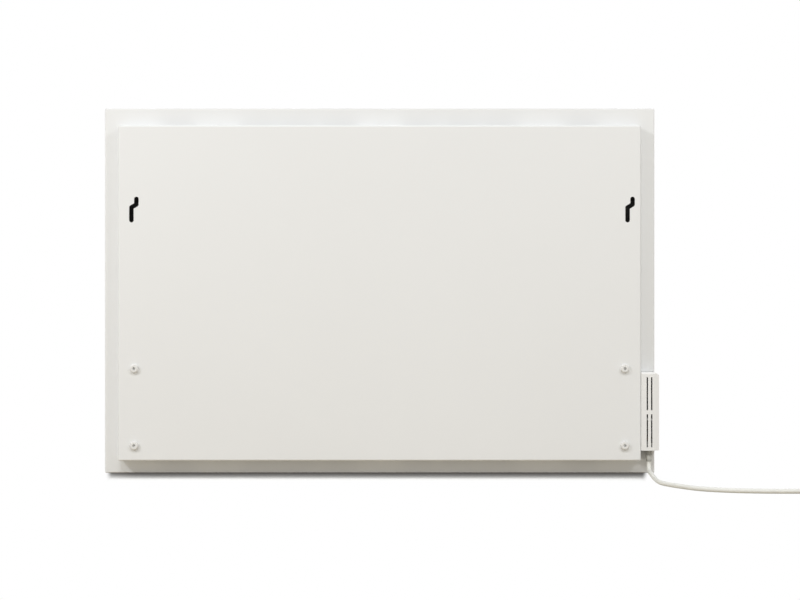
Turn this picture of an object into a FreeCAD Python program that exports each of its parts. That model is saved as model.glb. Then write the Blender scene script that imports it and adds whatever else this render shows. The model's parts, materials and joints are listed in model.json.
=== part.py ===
"""Slim wall-hung convector heater, seen from its rear side, in millimetres.

X runs along the width, with the control housing at the -X end. Y points from the room to the wall and
Z up. The origin lies on the casing's rear face, midway between the hanging slots, at the height where
the wall hooks seat.
"""

import math
import os

import FreeCAD
import Part

Vector = FreeCAD.Vector
X_AXIS = Vector(1, 0, 0)
Y_AXIS = Vector(0, 1, 0)
Z_AXIS = Vector(0, 0, 1)

# Clearances shared by the fits
RUNNING_GAP = 0.3
FIT_GAP = 0.1
CUT_OVER = 1.0

# Small round pieces inside the heater have few sides
PEG_SIDES = 8

# Front panel, a pan with return flanges that end close to the casing
PANEL_WIDTH = 900.0
PANEL_HEIGHT = 597.0
PANEL_DEPTH = 10.5
PANEL_SHEET = 1.0
PANEL_BEND = 2.0
RETURN_GAP = 0.6

# Rear casing, a folded box set in from the panel's edges
CASING_FROM_SIDE = 25.5
CASING_FROM_TOP = 30.5
CASING_FROM_BOTTOM = 21.9
CASING_DEPTH = 32.0
CASING_SHEET = 0.8
CASING_BEND = 2.5

# Hanging slots
SEAT_BELOW_TOP = 150.0
SLOT_FROM_SIDE = 21.8
SLOT_WIDTH = 7.3
SEAT_SHIFT = 8.1
SEAT_LEG = 9.0
JOG_HEIGHT = 4.8
SLOT_TRAVEL = 34.4

# Air slots in the top and bottom walls
VENT_LENGTH = 56.0
VENT_WIDTH = 3.6
VENT_PITCH = 66.0
VENT_FROM_SIDE = 20.0
VENT_ROWS = 2
VENT_ROW_PITCH = 8.0

# Brackets and casing screws
BRACKET_EVERY = 4
BRACKET_WIDTH = 30.0
BRACKET_LEG = 20.0
BRACKET_FOOT = 14.0
BRACKET_SHEET = 1.2
SIDE_BRACKET_BELOW_TOP = 61.5
SIDE_BRACKET_PITCH = 170.0
SCREW_RADIUS = 1.9
SCREW_LENGTH = 8.0
SCREW_HEAD_RADIUS = 3.7
SCREW_HEAD_HEIGHT = 2.2
SCREW_ABOVE_RETURN = 5.5
SCREW_STICK_OUT = 1.5

# Wall bumpers
BUMPER_FROM_SIDE = 26.5
BUMPER_SPACING_Z = 125.0
BUMPER_ABOVE_CASING_BOTTOM = 25.0
BUMPER_RADIUS = 7.0
BUMPER_HEIGHT = 5.0
BUMPER_EDGE = 2.2
BUMPER_RECESS = 3.4
BUMPER_SCREW_RADIUS = 1.2
BUMPER_SCREW_HEAD = 2.0
BUMPER_HEAD_HEIGHT = 1.4
CLINCH_NUT_RADIUS = 3.6
CLINCH_NUT_HEIGHT = 3.2

# Heating core, rod and hangers
CORE_FROM_SIDE = 74.5
CORE_ABOVE_CASING_BOTTOM = 94.0
CORE_BOSS_RADIUS = 6.5
FIN_THICKNESS = 1.8
FIN_HEIGHT = 32.0
FIN_TILT = 32.0
FIN_CLEARANCE = 4.0
ROD_RADIUS = 4.0
ROD_OVERHANG = 22.0
INSULATOR_RADIUS = 5.0
INSULATOR_LENGTH = 12.0
TERMINAL_RADIUS = 1.6
TERMINAL_LENGTH = 8.0
HANGER_SHEET = 1.2
HANGER_FROM_CORE = 8.0
HANGER_HEIGHT = 30.0
HANGER_FOOT = 16.0
HANGER_REACH = 10.0
HANGER_EDGE = 0.4
BUSH_WALL = 1.1
BUSH_FLANGE = 1.8
BUSH_FLANGE_LENGTH = 2.0

# Heat shield and thermal limiter
SHIELD_SHEET = 0.5
SHIELD_HEIGHT = 136.0
SHIELD_LIP = 6.0
LIMITER_RADIUS = 8.0
LIMITER_HEIGHT = 6.0
LIMITER_EAR_REACH = 4.0
LIMITER_EAR_THICKNESS = 0.8
LIMITER_FROM_HANGER = 30.0
LIMITER_BELOW_SHIELD_TOP = 22.0
LIMITER_BLADE = 7.0
LIMITER_BLADE_WIDTH = 4.8
LIMITER_BLADE_THICKNESS = 2.0
RIVET_RADIUS = 1.5

# Wires inside the heater
WIRE_RADIUS = 0.9
WIRE_SIDES = 6
WIRE_SPREAD = 1.3
WIRE_END = 4.5
WIRE_INSIDE = 6.5
CONDUCTOR_OFFSET = 1.9
CLIP_LENGTH = 8.0
CLIP_SPACING = 240.0
CLIP_WIRE_HEIGHT = 2.6
LINK_ABOVE_SHIELD = 12.0
GROMMET_BORE = 3.2
GROMMET_NECK = 4.8
GROMMET_FLANGE = 6.5
GROMMET_FLANGE_THICKNESS = 1.2
GROMMET_FROM_PANEL = 10.0
GROMMET_ABOVE_HOUSING = 42.3

# Earth stud and ring terminal
EARTH_FROM_SIDE = 20.5
EARTH_BELOW_GROMMET = 19.0
STUD_RADIUS = 2.0
STUD_HEIGHT = 8.0
RING_THICKNESS = 0.8
RING_RADIUS = 4.0
BARREL_RADIUS = 1.4
BARREL_REACH = 11.0
NUT_ACROSS_FLATS = 7.0
NUT_SIDES = 6
NUT_HEIGHT = 3.2

# Control housing and its vent cover
HOUSING_WIDTH = 29.3
HOUSING_ABOVE_BOTTOM = 38.7
HOUSING_WALL = 2.0
HOUSING_CORNER = 2.0
CORNER_RUN = 6.8
CORNER_DROP = 4.4
HOUSING_SCREW_FROM_PANEL = 7.0
HOUSING_SCREW_BELOW_TOP = 12.0
HOUSING_SCREW_ABOVE_BOTTOM = 62.0
COVER_THICKNESS = 2.0
COVER_BEVEL = 1.6
COVER_FACET = 9.0
COVER_TOP_BEVEL = 2.6
COVER_FROM_CASING = 1.0
COVER_LIP = 2.4
SLIT_FROM_END = 5.3
SLIT_ROW_GAP = 6.3
SLIT_WIDTH = 2.3
SLIT_OFFSET = 1.1
SLIT_COLUMN_PITCH = 7.1

# Controls on the housing's outer side
WINDOW_WIDTH = 12.0
WINDOW_HEIGHT = 24.0
WINDOW_BELOW_TOP = 10.6
KEY_SIDE = 8.0
KEY_PITCH = 12.0
KEY_BELOW_WINDOW = 10.0
KEY_PROUD = 0.8
KEY_FLANGE = 1.0
KEY_CORNER = 1.6
KEY_ROOM = 0.9
SWITCH_WIDTH = 14.0
SWITCH_HEIGHT = 21.0
SWITCH_PROUD = 0.8
SWITCH_DEPTH = 12.5
SWITCH_WALL = 1.0
SWITCH_ABOVE_BOTTOM = 17.8
POCKET_DEPTH = 9.4
ROCKER_TILT = 7.0
ROCKER_PIVOT_DEPTH = 4.4
ROCKER_PIN_RADIUS = 1.5
ROCKER_PIN_GRIP = 0.6
ROCKER_ABOVE_PIVOT = 3.2
ROCKER_BELOW_PIVOT = 2.4
BLADE_LENGTH = 6.0
BLADE_WIDTH = 2.4
BLADE_THICKNESS = 0.8
BLADE_OFFSET = 5.0

# Circuit board and what it carries
BOARD_THICKNESS = 1.6
BOARD_HEIGHT = 74.0
BOARD_GAP = 0.4
BOARD_BELOW_TOP = 7.6
BOARD_ABOVE_SWITCH = 6.5
BOARD_POST_RADIUS = 2.0
BOARD_POST_FROM_EDGE = 2.2
BOARD_POST_FROM_END = 4.5
POST_PIN_RADIUS = 1.0
KEY_SWITCH_SIDE = 6.0
KEY_SWITCH_HEIGHT = 2.5
PLUNGER_HEIGHT = 0.5
DISPLAY_GAP = 1.4
RELAY_WIDTH = 14.0
RELAY_LENGTH = 20.0
RELAY_HEIGHT = 14.0
RELAY_EDGE = 0.8
RELAY_ABOVE_BOARD_END = 30.0
CAPACITOR_RADIUS = 5.0
CAPACITOR_HEIGHT = 13.0
CAPACITOR_OFFSET = 2.5
CAPACITOR_BELOW_BOARD_TOP = 12.0
TERMINAL_HEIGHT = 10.0
SUPPLY_OFFSETS = (3.0, -2.0)
SUPPLY_ABOVE_BOARD_END = 12.0
SUPPLY_HALF_LENGTH = 4.0
SUPPLY_MARGIN = 2.4
LOAD_ABOVE_BOARD_END = (20.0, 26.0)
LOAD_FROM_EDGE = 1.8
LOAD_HALF_WIDTH = 1.7
LOAD_MARGIN = 2.5
SENSOR_RADIUS = 1.8
SENSOR_LEAD_RADIUS = 0.4
SENSOR_DROP = 5.0
SENSOR_FROM_BOARD_EDGE = 2.0

# Strain relief and cord clamp
CORD_DIAMETER = 7.2
CORD_SIDES = 8
RELIEF_LENGTH = 18.7
RELIEF_TOP_WALL = 1.4
RELIEF_END_WALL = 0.6
RELIEF_FLANGE_WALL = 3.4
RELIEF_OFFSET = 0.2
RELIEF_GROOVES = 3
GROOVE_WIDTH = 1.6
GROOVE_DEPTH = 0.5
CLAMP_WIDTH = 21.0
CLAMP_LENGTH = 7.0
CLAMP_THICKNESS = 5.4
CLAMP_EDGE = 1.0
CLAMP_SCREW_RADIUS = 1.5
CLAMP_SCREW_DEPTH = 9.0
CLAMP_SCREW_OFFSET = 7.5
SADDLE_ABOVE_BOTTOM = 4.8
LEAD_INSIDE = 14.3

# Cord on the floor, by steps along the width and towards the wall from the strain relief
LEAD_DROP = 8.6
CORD_RUN = [
    (0.3, 8.4),
    (1.2, 26.3),
    (3.4, 56.3),
    (7.4, 105.3),
    (8.2, 163.3),
    (-8.05, 197.3),
    (-36.55, 240.3),
    (-81.05, 261.3),
    (-127.05, 268.3),
    (-173.05, 269.3),
]
RAMP_START = 30.8
RAMP_END = 14.8

# Tied coil and the tail to the plug
COIL_STEP_ALONG = -251.05
COIL_STEP_OUT = 222.5
COIL_INNER_RADIUS = 28.4
COIL_GAP = 0.6
COIL_TURNS = 4.25
COIL_SAMPLES = 72
TIE_THICKNESS = 0.8
TIE_WIDTH = 9.0
TIE_SLACK = 0.8
TAIL_LEVEL = 18.0
TAIL_DROP = 44.0
TAIL_REACH = 66.0

# Plug
PLUG_RADIUS = 18.5
PLUG_DISC = 15.0
PLUG_TAPER = 24.0
PLUG_TAIL = 23.0
PLUG_NECK_RADIUS = 8.0
PLUG_TAIL_RADIUS = 6.5
PLUG_RIM = 2.0
PLUG_NOTCH_DEPTH = 3.2
PLUG_NOTCH_WIDTH = 5.2
PLUG_NOTCH_RUN = 2.0
PIN_RADIUS = 2.4
PIN_LENGTH = 19.0
PIN_SPACING = 19.0
PIN_TIP = 1.44

# Places on the panel and casing that follow from the sizes above
PANEL_TOP = SEAT_BELOW_TOP
PANEL_BOTTOM = PANEL_TOP - PANEL_HEIGHT
PANEL_BACK = -CASING_DEPTH
PANEL_FRONT = PANEL_BACK - PANEL_SHEET
FLANGE_EDGE = PANEL_FRONT + PANEL_DEPTH
SCREW_Y = FLANGE_EDGE + SCREW_ABOVE_RETURN
VENT_Y = (FLANGE_EDGE - CASING_BEND) / 2
CASING_SIDE = PANEL_WIDTH / 2 - CASING_FROM_SIDE
CASING_TOP = PANEL_TOP - CASING_FROM_TOP
CASING_BOTTOM = PANEL_BOTTOM + CASING_FROM_BOTTOM
INNER_BACK = -CASING_SHEET
SLOT_X = CASING_SIDE - SLOT_FROM_SIDE
BUMPER_X = CASING_SIDE - BUMPER_FROM_SIDE
BUMPER_ROWS = [CASING_BOTTOM + BUMPER_ABOVE_CASING_BOTTOM + k * BUMPER_SPACING_Z for k in (0, 1)]

# Places round the heating core
CORE_END = CASING_SIDE - CORE_FROM_SIDE
CORE_Y = -CASING_DEPTH / 2
CORE_Z = CASING_BOTTOM + CORE_ABOVE_CASING_BOTTOM
HANGER_X = CORE_END + HANGER_FROM_CORE
ROD_END = CORE_END + ROD_OVERHANG
TERMINAL_END = ROD_END + INSULATOR_LENGTH + TERMINAL_LENGTH
SHIELD_BACK = INNER_BACK - HANGER_SHEET
SHIELD_FRONT = SHIELD_BACK - SHIELD_SHEET
SHIELD_LOW = CORE_Z - SHIELD_HEIGHT / 2
SHIELD_HIGH = CORE_Z + SHIELD_HEIGHT / 2
LIMITER_X = -HANGER_X + LIMITER_FROM_HANGER
LIMITER_Z = SHIELD_HIGH - LIMITER_BELOW_SHIELD_TOP
LIMITER_EAR = LIMITER_RADIUS + LIMITER_EAR_REACH
LIMITER_TERMINAL_Y = SHIELD_FRONT - LIMITER_HEIGHT - LIMITER_BLADE_THICKNESS / 2
LINK_Z = SHIELD_HIGH + LINK_ABOVE_SHIELD
LINK_Y = INNER_BACK - CLIP_WIRE_HEIGHT

# Places in the control housing
FACE = -(CASING_SIDE + HOUSING_WIDTH)
HOUSING_HEIGHT = SWITCH_ABOVE_BOTTOM + SWITCH_HEIGHT + BOARD_ABOVE_SWITCH + BOARD_HEIGHT + BOARD_BELOW_TOP
HOUSING_BOTTOM = PANEL_BOTTOM + HOUSING_ABOVE_BOTTOM
HOUSING_TOP = HOUSING_BOTTOM + HOUSING_HEIGHT
COVER_FLAT_TOP = HOUSING_TOP - COVER_TOP_BEVEL
COVER_MIDDLE = (HOUSING_BOTTOM + COVER_FLAT_TOP) / 2
HOUSING_X = FACE + HOUSING_WIDTH / 2
STEP_X = -(PANEL_WIDTH / 2 - PANEL_BEND - RUNNING_GAP)
STEP_Y = FLANGE_EDGE + RUNNING_GAP
INNER_WALL = -(CASING_SIDE + HOUSING_WALL)
SLIT_LENGTH = (COVER_FLAT_TOP - HOUSING_BOTTOM - SLIT_ROW_GAP) / 2 - SLIT_FROM_END
BOARD_LOW_Y = STEP_Y + HOUSING_WALL + BOARD_GAP
BOARD_HIGH_Y = -COVER_LIP - BOARD_GAP
CONTROL_Y = (BOARD_LOW_Y + BOARD_HIGH_Y) / 2
KEY_BACK = FACE + HOUSING_WALL + RUNNING_GAP
BOARD_OUTER = KEY_BACK + KEY_FLANGE + KEY_ROOM + PLUNGER_HEIGHT + KEY_SWITCH_HEIGHT
BOARD_INNER = BOARD_OUTER + BOARD_THICKNESS
BOARD_TOP = HOUSING_TOP - BOARD_BELOW_TOP
BOARD_BOTTOM = BOARD_TOP - BOARD_HEIGHT
SUPPLY_Y = [CONTROL_Y + offset for offset in SUPPLY_OFFSETS]
SUPPLY_Z = BOARD_BOTTOM + SUPPLY_ABOVE_BOARD_END
LOAD_Y = BOARD_LOW_Y + LOAD_FROM_EDGE
LOAD_ROWS = [BOARD_BOTTOM + above for above in LOAD_ABOVE_BOARD_END]
TERMINAL_FACE = BOARD_INNER + TERMINAL_HEIGHT
WINDOW_Z = HOUSING_TOP - WINDOW_BELOW_TOP - WINDOW_HEIGHT / 2
FIRST_KEY = WINDOW_Z - WINDOW_HEIGHT / 2 - KEY_BELOW_WINDOW
KEY_ROWS = {name: FIRST_KEY - k * KEY_PITCH for k, name in enumerate(("power", "minus", "plus"))}
SWITCH_Z = HOUSING_BOTTOM + SWITCH_ABOVE_BOTTOM + SWITCH_HEIGHT / 2
SWITCH_REAR = FACE + SWITCH_DEPTH
PIVOT = Vector(FACE + ROCKER_PIVOT_DEPTH, CONTROL_Y, SWITCH_Z)
POCKET_Y = SWITCH_WIDTH / 2 - 2 * SWITCH_WALL
POCKET_Z = SWITCH_HEIGHT / 2 - 2 * SWITCH_WALL
BLADE_ROWS = [SWITCH_Z - BLADE_OFFSET, SWITCH_Z + BLADE_OFFSET]
GROMMET_Y = PANEL_BACK + GROMMET_FROM_PANEL
GROMMET_Z = HOUSING_BOTTOM + GROMMET_ABOVE_HOUSING
EARTH_X = -CASING_SIDE + EARTH_FROM_SIDE
EARTH_Z = GROMMET_Z - EARTH_BELOW_GROMMET
BARREL_TOP = EARTH_Z + BARREL_REACH
BARREL_Y = INNER_BACK - BARREL_RADIUS
NUT_RADIUS = NUT_ACROSS_FLATS / 2 / math.cos(math.pi / NUT_SIDES)

# Places along the cord
CORD_RADIUS = CORD_DIAMETER / 2
RELIEF_X = HOUSING_X + RELIEF_OFFSET
RELIEF_END = HOUSING_BOTTOM - RELIEF_LENGTH
RELIEF_TOP_RADIUS = CORD_RADIUS + RELIEF_TOP_WALL
RELIEF_END_RADIUS = CORD_RADIUS + RELIEF_END_WALL
RELIEF_FLANGE = CORD_RADIUS + RELIEF_FLANGE_WALL
LEAD_TOP = HOUSING_BOTTOM + LEAD_INSIDE
SADDLE_LOW = HOUSING_BOTTOM + SADDLE_ABOVE_BOTTOM
CORD_REST_Z = PANEL_BOTTOM + CORD_RADIUS
COIL_STEP = CORD_DIAMETER + COIL_GAP
COIL_CENTRE = Vector(RELIEF_X + COIL_STEP_ALONG, CONTROL_Y + COIL_STEP_OUT, 0)
COIL_LOWER_Z = CORD_REST_Z + TIE_THICKNESS + RUNNING_GAP
COIL_UPPER_Z = COIL_LOWER_Z + COIL_STEP
COIL_HALF = COIL_TURNS / 2
COIL_OUTER_RADIUS = COIL_INNER_RADIUS + COIL_STEP * COIL_HALF
COIL_START = Vector(COIL_CENTRE.x, COIL_CENTRE.y + COIL_OUTER_RADIUS, COIL_LOWER_Z)
COIL_END = Vector(COIL_CENTRE.x - COIL_OUTER_RADIUS, COIL_CENTRE.y, COIL_UPPER_Z)
COIL_ENTRY = COIL_START + X_AXIS * CORD_DIAMETER
COIL_EXIT = COIL_END - Y_AXIS * CORD_DIAMETER
PLUG_DISC_START = PLUG_TAIL + PLUG_TAPER
PLUG_FACE = PLUG_DISC_START + PLUG_DISC
PLUG_SLOPE = math.atan((PLUG_RADIUS - PLUG_TAIL_RADIUS) / PLUG_DISC_START)
PLUG_AXIS = Vector(0, -math.cos(PLUG_SLOPE), math.sin(PLUG_SLOPE))
PLUG_START_Z = PANEL_BOTTOM + PLUG_TAIL_RADIUS * math.cos(PLUG_SLOPE)
PLUG_START = Vector(COIL_EXIT.x, COIL_EXIT.y - TAIL_REACH, PLUG_START_Z)
PLUG_LEAD = (PLUG_START_Z - CORD_REST_Z) / math.sin(PLUG_SLOPE)

PIECES = {}


# Shared shapes


def block(x0, x1, y0, y1, z0, z1):
    """Box between two corners given by their coordinates, in any order."""
    low = Vector(min(x0, x1), min(y0, y1), min(z0, z1))
    return Part.makeBox(abs(x1 - x0), abs(y1 - y0), abs(z1 - z0), low)


def rod(radius, start, end):
    """Cylinder from one point to another."""
    return Part.makeCylinder(radius, (end - start).Length, start, end - start)


def edges_where(shape, test):
    """Edges whose two ends both pass the test."""
    return [e for e in shape.Edges if all(test(v.Point) for v in e.Vertexes)]


def rounded_along(shape, axis, radius):
    """Box with its edges that run along an axis rounded."""
    edges = [e for e in shape.Edges if abs(e.tangentAt(e.FirstParameter).dot(axis)) > 0.99]
    return shape.makeFillet(radius, edges)


def slot_prism(start, end, width, through):
    """Round-ended slot between two points, as deep as the vector through."""
    along = end - start
    side = through.cross(along)
    side.normalize()
    side = side * (width / 2)
    outline = [start + side, end + side, end - side, start - side, start + side]
    body = Part.Face(Part.makePolygon(outline)).extrude(through)
    ends = [Part.makeCylinder(width / 2, through.Length, p, through) for p in (start, end)]
    return body.multiFuse(ends).removeSplitter()


def tray(half_x, low_z, high_z, closed_y, open_y, sheet, bend):
    """Folded box with one closed face at closed_y, rounded at its bends."""
    sign = 1 if open_y > closed_y else -1

    def rounded(inset, depth_from, depth_to, radius):
        body = block(
            -half_x + inset, half_x - inset, depth_from, depth_to, low_z + inset, high_z - inset
        )
        edges = edges_where(body, lambda p: abs(p.y - depth_from) < 1e-6)
        edges += [e for e in body.Edges if abs(e.tangentAt(e.FirstParameter).y) > 0.99]
        return body.makeFillet(radius, edges)

    outer = rounded(0, closed_y, open_y, bend)
    inner = rounded(sheet, closed_y + sign * sheet, open_y + sign * CUT_OVER, bend - sheet)
    return outer.cut(inner)


def on_wall(shape, angle, point):
    """Turn a shape that stands on the top wall to another wall and put it at a point there."""
    placed = shape.copy()
    placed.rotate(Vector(0, 0, 0), Y_AXIS, angle)
    placed.translate(point)
    return placed


def bend_radius(before, corner, after):
    """Largest arc that two runs allow at their corner."""
    a = before - corner
    b = after - corner
    turn = math.pi - a.getAngle(b)
    return 0.45 * min(a.Length, b.Length) / math.tan(turn / 2), turn


def bent_path(points):
    """Wire of straight runs joined by tangent arcs, with the arc radii."""
    edges = []
    radii = []
    start = points[0]
    for before, corner, after in zip(points, points[1:], points[2:]):
        radius, turn = bend_radius(before, corner, after)
        reach = radius * math.tan(turn / 2)
        into = before - corner
        into.normalize()
        out = after - corner
        out.normalize()
        first = corner + into * reach
        last = corner + out * reach
        inward = into + out
        inward.normalize()
        middle = corner + inward * (radius / math.cos(turn / 2) - radius)
        edges.append(Part.LineSegment(start, first).toShape())
        edges.append(Part.Arc(first, middle, last).toShape())
        radii.append(radius)
        start = last
    edges.append(Part.LineSegment(start, points[-1]).toShape())
    return Part.Wire(edges), radii


def tube(points, radius):
    """Faceted tube along straight runs and tangent arcs, with its arc radii."""
    path, radii = bent_path(points)
    ring = facet_ring(points[0], points[1] - points[0], radius, CORD_SIDES)
    solid = path.makePipeShell([ring], True, False)
    expected = Part.Face(ring).Area * path.Length
    return Part.Solid(solid), path.Length, radii, solid.Volume / expected


def facet_ring(centre, along, reach, sides):
    """Regular polygon square to a direction, with corners at a reach from its centre."""
    turned = FreeCAD.Rotation(Z_AXIS, along)
    corners = []
    for k in range(sides + 1):
        angle = 2 * math.pi * (k + 0.5) / sides
        corners.append(centre + turned.multVec(Vector(math.cos(angle), math.sin(angle), 0) * reach))
    return Part.makePolygon(corners)


def peg(radius, start, end):
    """Small round piece inside the heater, faceted, with its corners at a radius."""
    return Part.Face(facet_ring(start, end - start, radius, PEG_SIDES)).extrude(end - start)


def peg_hole(radius, start, end):
    """Cutter for a peg's hole, with its flats at a radius."""
    return peg(radius / math.cos(math.pi / PEG_SIDES), start, end)


def wire(*places):
    """Thin insulated wire inside the heater, faceted."""
    points = [Vector(*p) for p in places]
    ring = facet_ring(points[0], points[1] - points[0], WIRE_RADIUS, WIRE_SIDES)
    return Part.Solid(bent_path(points)[0].makePipeShell([ring], True, False))


# Front panel with its welded brackets


def front_panel():
    """Folded pan with return flanges round the casing, notched where the control housing goes in."""
    half = PANEL_WIDTH / 2

    def rounded(inset, radius):
        body = block(
            inset - half,
            half - inset,
            PANEL_FRONT + inset,
            FLANGE_EDGE - inset,
            PANEL_BOTTOM + inset,
            PANEL_TOP - inset,
        )
        return body.makeFillet(radius, body.Edges)

    def through_return(x0, x1, z0, z1):
        return block(x0, x1, FLANGE_EDGE - PANEL_BEND, FLANGE_EDGE + CUT_OVER, z0, z1)

    pan = rounded(0, PANEL_BEND).cut(rounded(PANEL_SHEET, PANEL_BEND - PANEL_SHEET))
    side = CASING_SIDE + RETURN_GAP
    opening = through_return(-side, side, CASING_BOTTOM - RETURN_GAP, CASING_TOP + RETURN_GAP)
    low = HOUSING_BOTTOM - RUNNING_GAP
    high = HOUSING_TOP + RUNNING_GAP
    notch = through_return(PANEL_BEND - half, -CASING_SIDE, low, high)
    return pan.cut(Part.makeCompound([opening.fuse(notch)]))


def wall_points(reach):
    """Turn and place of each bracket on the casing's inner walls, moved outwards by reach."""
    columns = [k * BRACKET_EVERY * VENT_PITCH for k in (-1, 0, 1)]
    heights = [CASING_TOP - SIDE_BRACKET_BELOW_TOP - k * SIDE_BRACKET_PITCH for k in (0, 1)]
    side = CASING_SIDE - CASING_SHEET + reach
    top = CASING_TOP - CASING_SHEET + reach
    bottom = CASING_BOTTOM + CASING_SHEET - reach
    points = [(0, Vector(x, 0, top)) for x in columns]
    points += [(180, Vector(x, 0, bottom)) for x in columns]
    points += [(90, Vector(side, 0, z)) for z in heights]
    points += [(-90, Vector(-side, 0, z)) for z in heights]
    return points


def panel_brackets():
    half = BRACKET_WIDTH / 2
    upright = block(-half, half, PANEL_BACK, PANEL_BACK + BRACKET_LEG, -BRACKET_SHEET, 0)
    foot = block(-half, half, PANEL_BACK, PANEL_BACK + BRACKET_SHEET, -BRACKET_FOOT, 0)
    hole = peg_hole(SCREW_RADIUS + FIT_GAP, Vector(0, SCREW_Y, CUT_OVER), Vector(0, SCREW_Y, -BRACKET_FOOT))
    bracket = upright.fuse(foot).removeSplitter().cut(hole)
    return Part.makeCompound([on_wall(bracket, angle, point) for angle, point in wall_points(0)])


def casing_screws():
    seat = Vector(0, SCREW_Y, 0)
    shank = peg(SCREW_RADIUS, seat, seat - Z_AXIS * SCREW_LENGTH)
    screw = shank.fuse(peg(SCREW_HEAD_RADIUS, seat, seat + Z_AXIS * SCREW_HEAD_HEIGHT))
    return Part.makeCompound([on_wall(screw, a, p) for a, p in wall_points(CASING_SHEET)])


# Rear casing


def hanging_slot(entry_x):
    """Z-shaped slot: a long entry leg, a jog and a short leg in which the hook seats."""
    seat_x = entry_x - SEAT_SHIFT
    through = Vector(0, -(CASING_SHEET + 2 * CUT_OVER), 0)
    corners = [
        Vector(entry_x, CUT_OVER, -SLOT_TRAVEL),
        Vector(entry_x, CUT_OVER, -SEAT_LEG - JOG_HEIGHT),
        Vector(seat_x, CUT_OVER, -SEAT_LEG),
        Vector(seat_x, CUT_OVER, 0),
    ]
    legs = [slot_prism(a, b, SLOT_WIDTH, through) for a, b in zip(corners, corners[1:])]
    return legs[0].multiFuse(legs[1:]).removeSplitter()


def vent_cutters():
    """Rows of punched air slots, left out where a bracket stands."""
    cutters = []
    half = VENT_LENGTH / 2
    depth = CASING_SHEET + 2 * CUT_OVER
    columns = int((CASING_SIDE - VENT_FROM_SIDE - VENT_LENGTH / 2) / VENT_PITCH)
    for low in (CASING_BOTTOM - CUT_OVER, CASING_TOP - CASING_SHEET - CUT_OVER):
        for column in range(-columns, columns + 1):
            if column % BRACKET_EVERY == 0:
                continue
            for row in range(VENT_ROWS):
                x = column * VENT_PITCH
                near = VENT_Y + (row - (VENT_ROWS - 1) / 2) * VENT_ROW_PITCH - VENT_WIDTH / 2
                cutters.append(block(x - half, x + half, near, near + VENT_WIDTH, low, low + depth))
    return cutters


def bumper_points():
    """Centres of the four bumpers on the casing's rear face."""
    return {
        f"{level}_{side}": Vector(x, 0, z)
        for level, z in zip(("lower", "upper"), BUMPER_ROWS)
        for side, x in (("left", BUMPER_X), ("right", -BUMPER_X))
    }


def housing_screw_points():
    """Places of the two screws that hold the control housing to the casing's side."""
    y = PANEL_BACK + HOUSING_SCREW_FROM_PANEL
    heights = [HOUSING_TOP - HOUSING_SCREW_BELOW_TOP, HOUSING_BOTTOM + HOUSING_SCREW_ABOVE_BOTTOM]
    return [Vector(INNER_WALL, y, z) for z in heights]


def side_drill(radius, y, z):
    """Drill through the casing's side wall and the housing's inner wall, which lie together."""
    outside = Vector(INNER_WALL - CUT_OVER, y, z)
    inside = Vector(-CASING_SIDE + CASING_SHEET + CUT_OVER, y, z)
    return peg_hole(radius, outside, inside)


def rear_casing():
    body = tray(CASING_SIDE, CASING_BOTTOM, CASING_TOP, 0, PANEL_BACK, CASING_SHEET, CASING_BEND)
    cutters = [hanging_slot(x) for x in (SLOT_X, -SLOT_X)]
    cutters += vent_cutters()
    hole = SCREW_RADIUS + FIT_GAP
    for angle, point in wall_points(0):
        drill = peg_hole(hole, Vector(0, SCREW_Y, -CUT_OVER), Vector(0, SCREW_Y, CASING_SHEET + CUT_OVER))
        cutters.append(on_wall(drill, angle, point))
    for centre in bumper_points().values():
        inward = centre - Y_AXIS * (CASING_SHEET + CUT_OVER)
        cutters.append(peg_hole(BUMPER_SCREW_RADIUS + FIT_GAP, centre + Y_AXIS, inward))
    cutters.append(side_drill(GROMMET_NECK + FIT_GAP, GROMMET_Y, GROMMET_Z))
    cutters += [side_drill(hole, point.y, point.z) for point in housing_screw_points()]
    return body.cut(Part.makeCompound(cutters))


# Wall bumpers with their screws and clinch nuts


def bumper(centre):
    body = rod(BUMPER_RADIUS, centre, centre + Y_AXIS * BUMPER_HEIGHT)
    rim = edges_where(body, lambda p: abs(p.y - BUMPER_HEIGHT) < 1e-6)
    body = body.makeFillet(BUMPER_EDGE, rim[:1])
    seat = centre + Y_AXIS * (BUMPER_HEIGHT - BUMPER_RECESS)
    over = centre + Y_AXIS * (BUMPER_HEIGHT + CUT_OVER)
    recess = rod(BUMPER_SCREW_HEAD + RUNNING_GAP, seat, over)
    hole = peg_hole(BUMPER_SCREW_RADIUS + FIT_GAP, centre - Y_AXIS, over)
    return body.cut(recess).cut(hole)


def bumper_screw(centre):
    seat = centre + Y_AXIS * (BUMPER_HEIGHT - BUMPER_RECESS)
    head = peg(BUMPER_SCREW_HEAD, seat, seat + Y_AXIS * BUMPER_HEAD_HEIGHT)
    tip = centre - Y_AXIS * (CASING_SHEET + CLINCH_NUT_HEIGHT)
    return head.fuse(peg(BUMPER_SCREW_RADIUS, seat, tip))


def clinch_nut(centre):
    seat = centre - Y_AXIS * CASING_SHEET
    body = peg(CLINCH_NUT_RADIUS, seat, seat - Y_AXIS * CLINCH_NUT_HEIGHT)
    return body.cut(peg_hole(BUMPER_SCREW_RADIUS + FIT_GAP, centre, seat - Y_AXIS * BUMPER_HEIGHT))


# Heating core, rod, insulators and hangers


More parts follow.
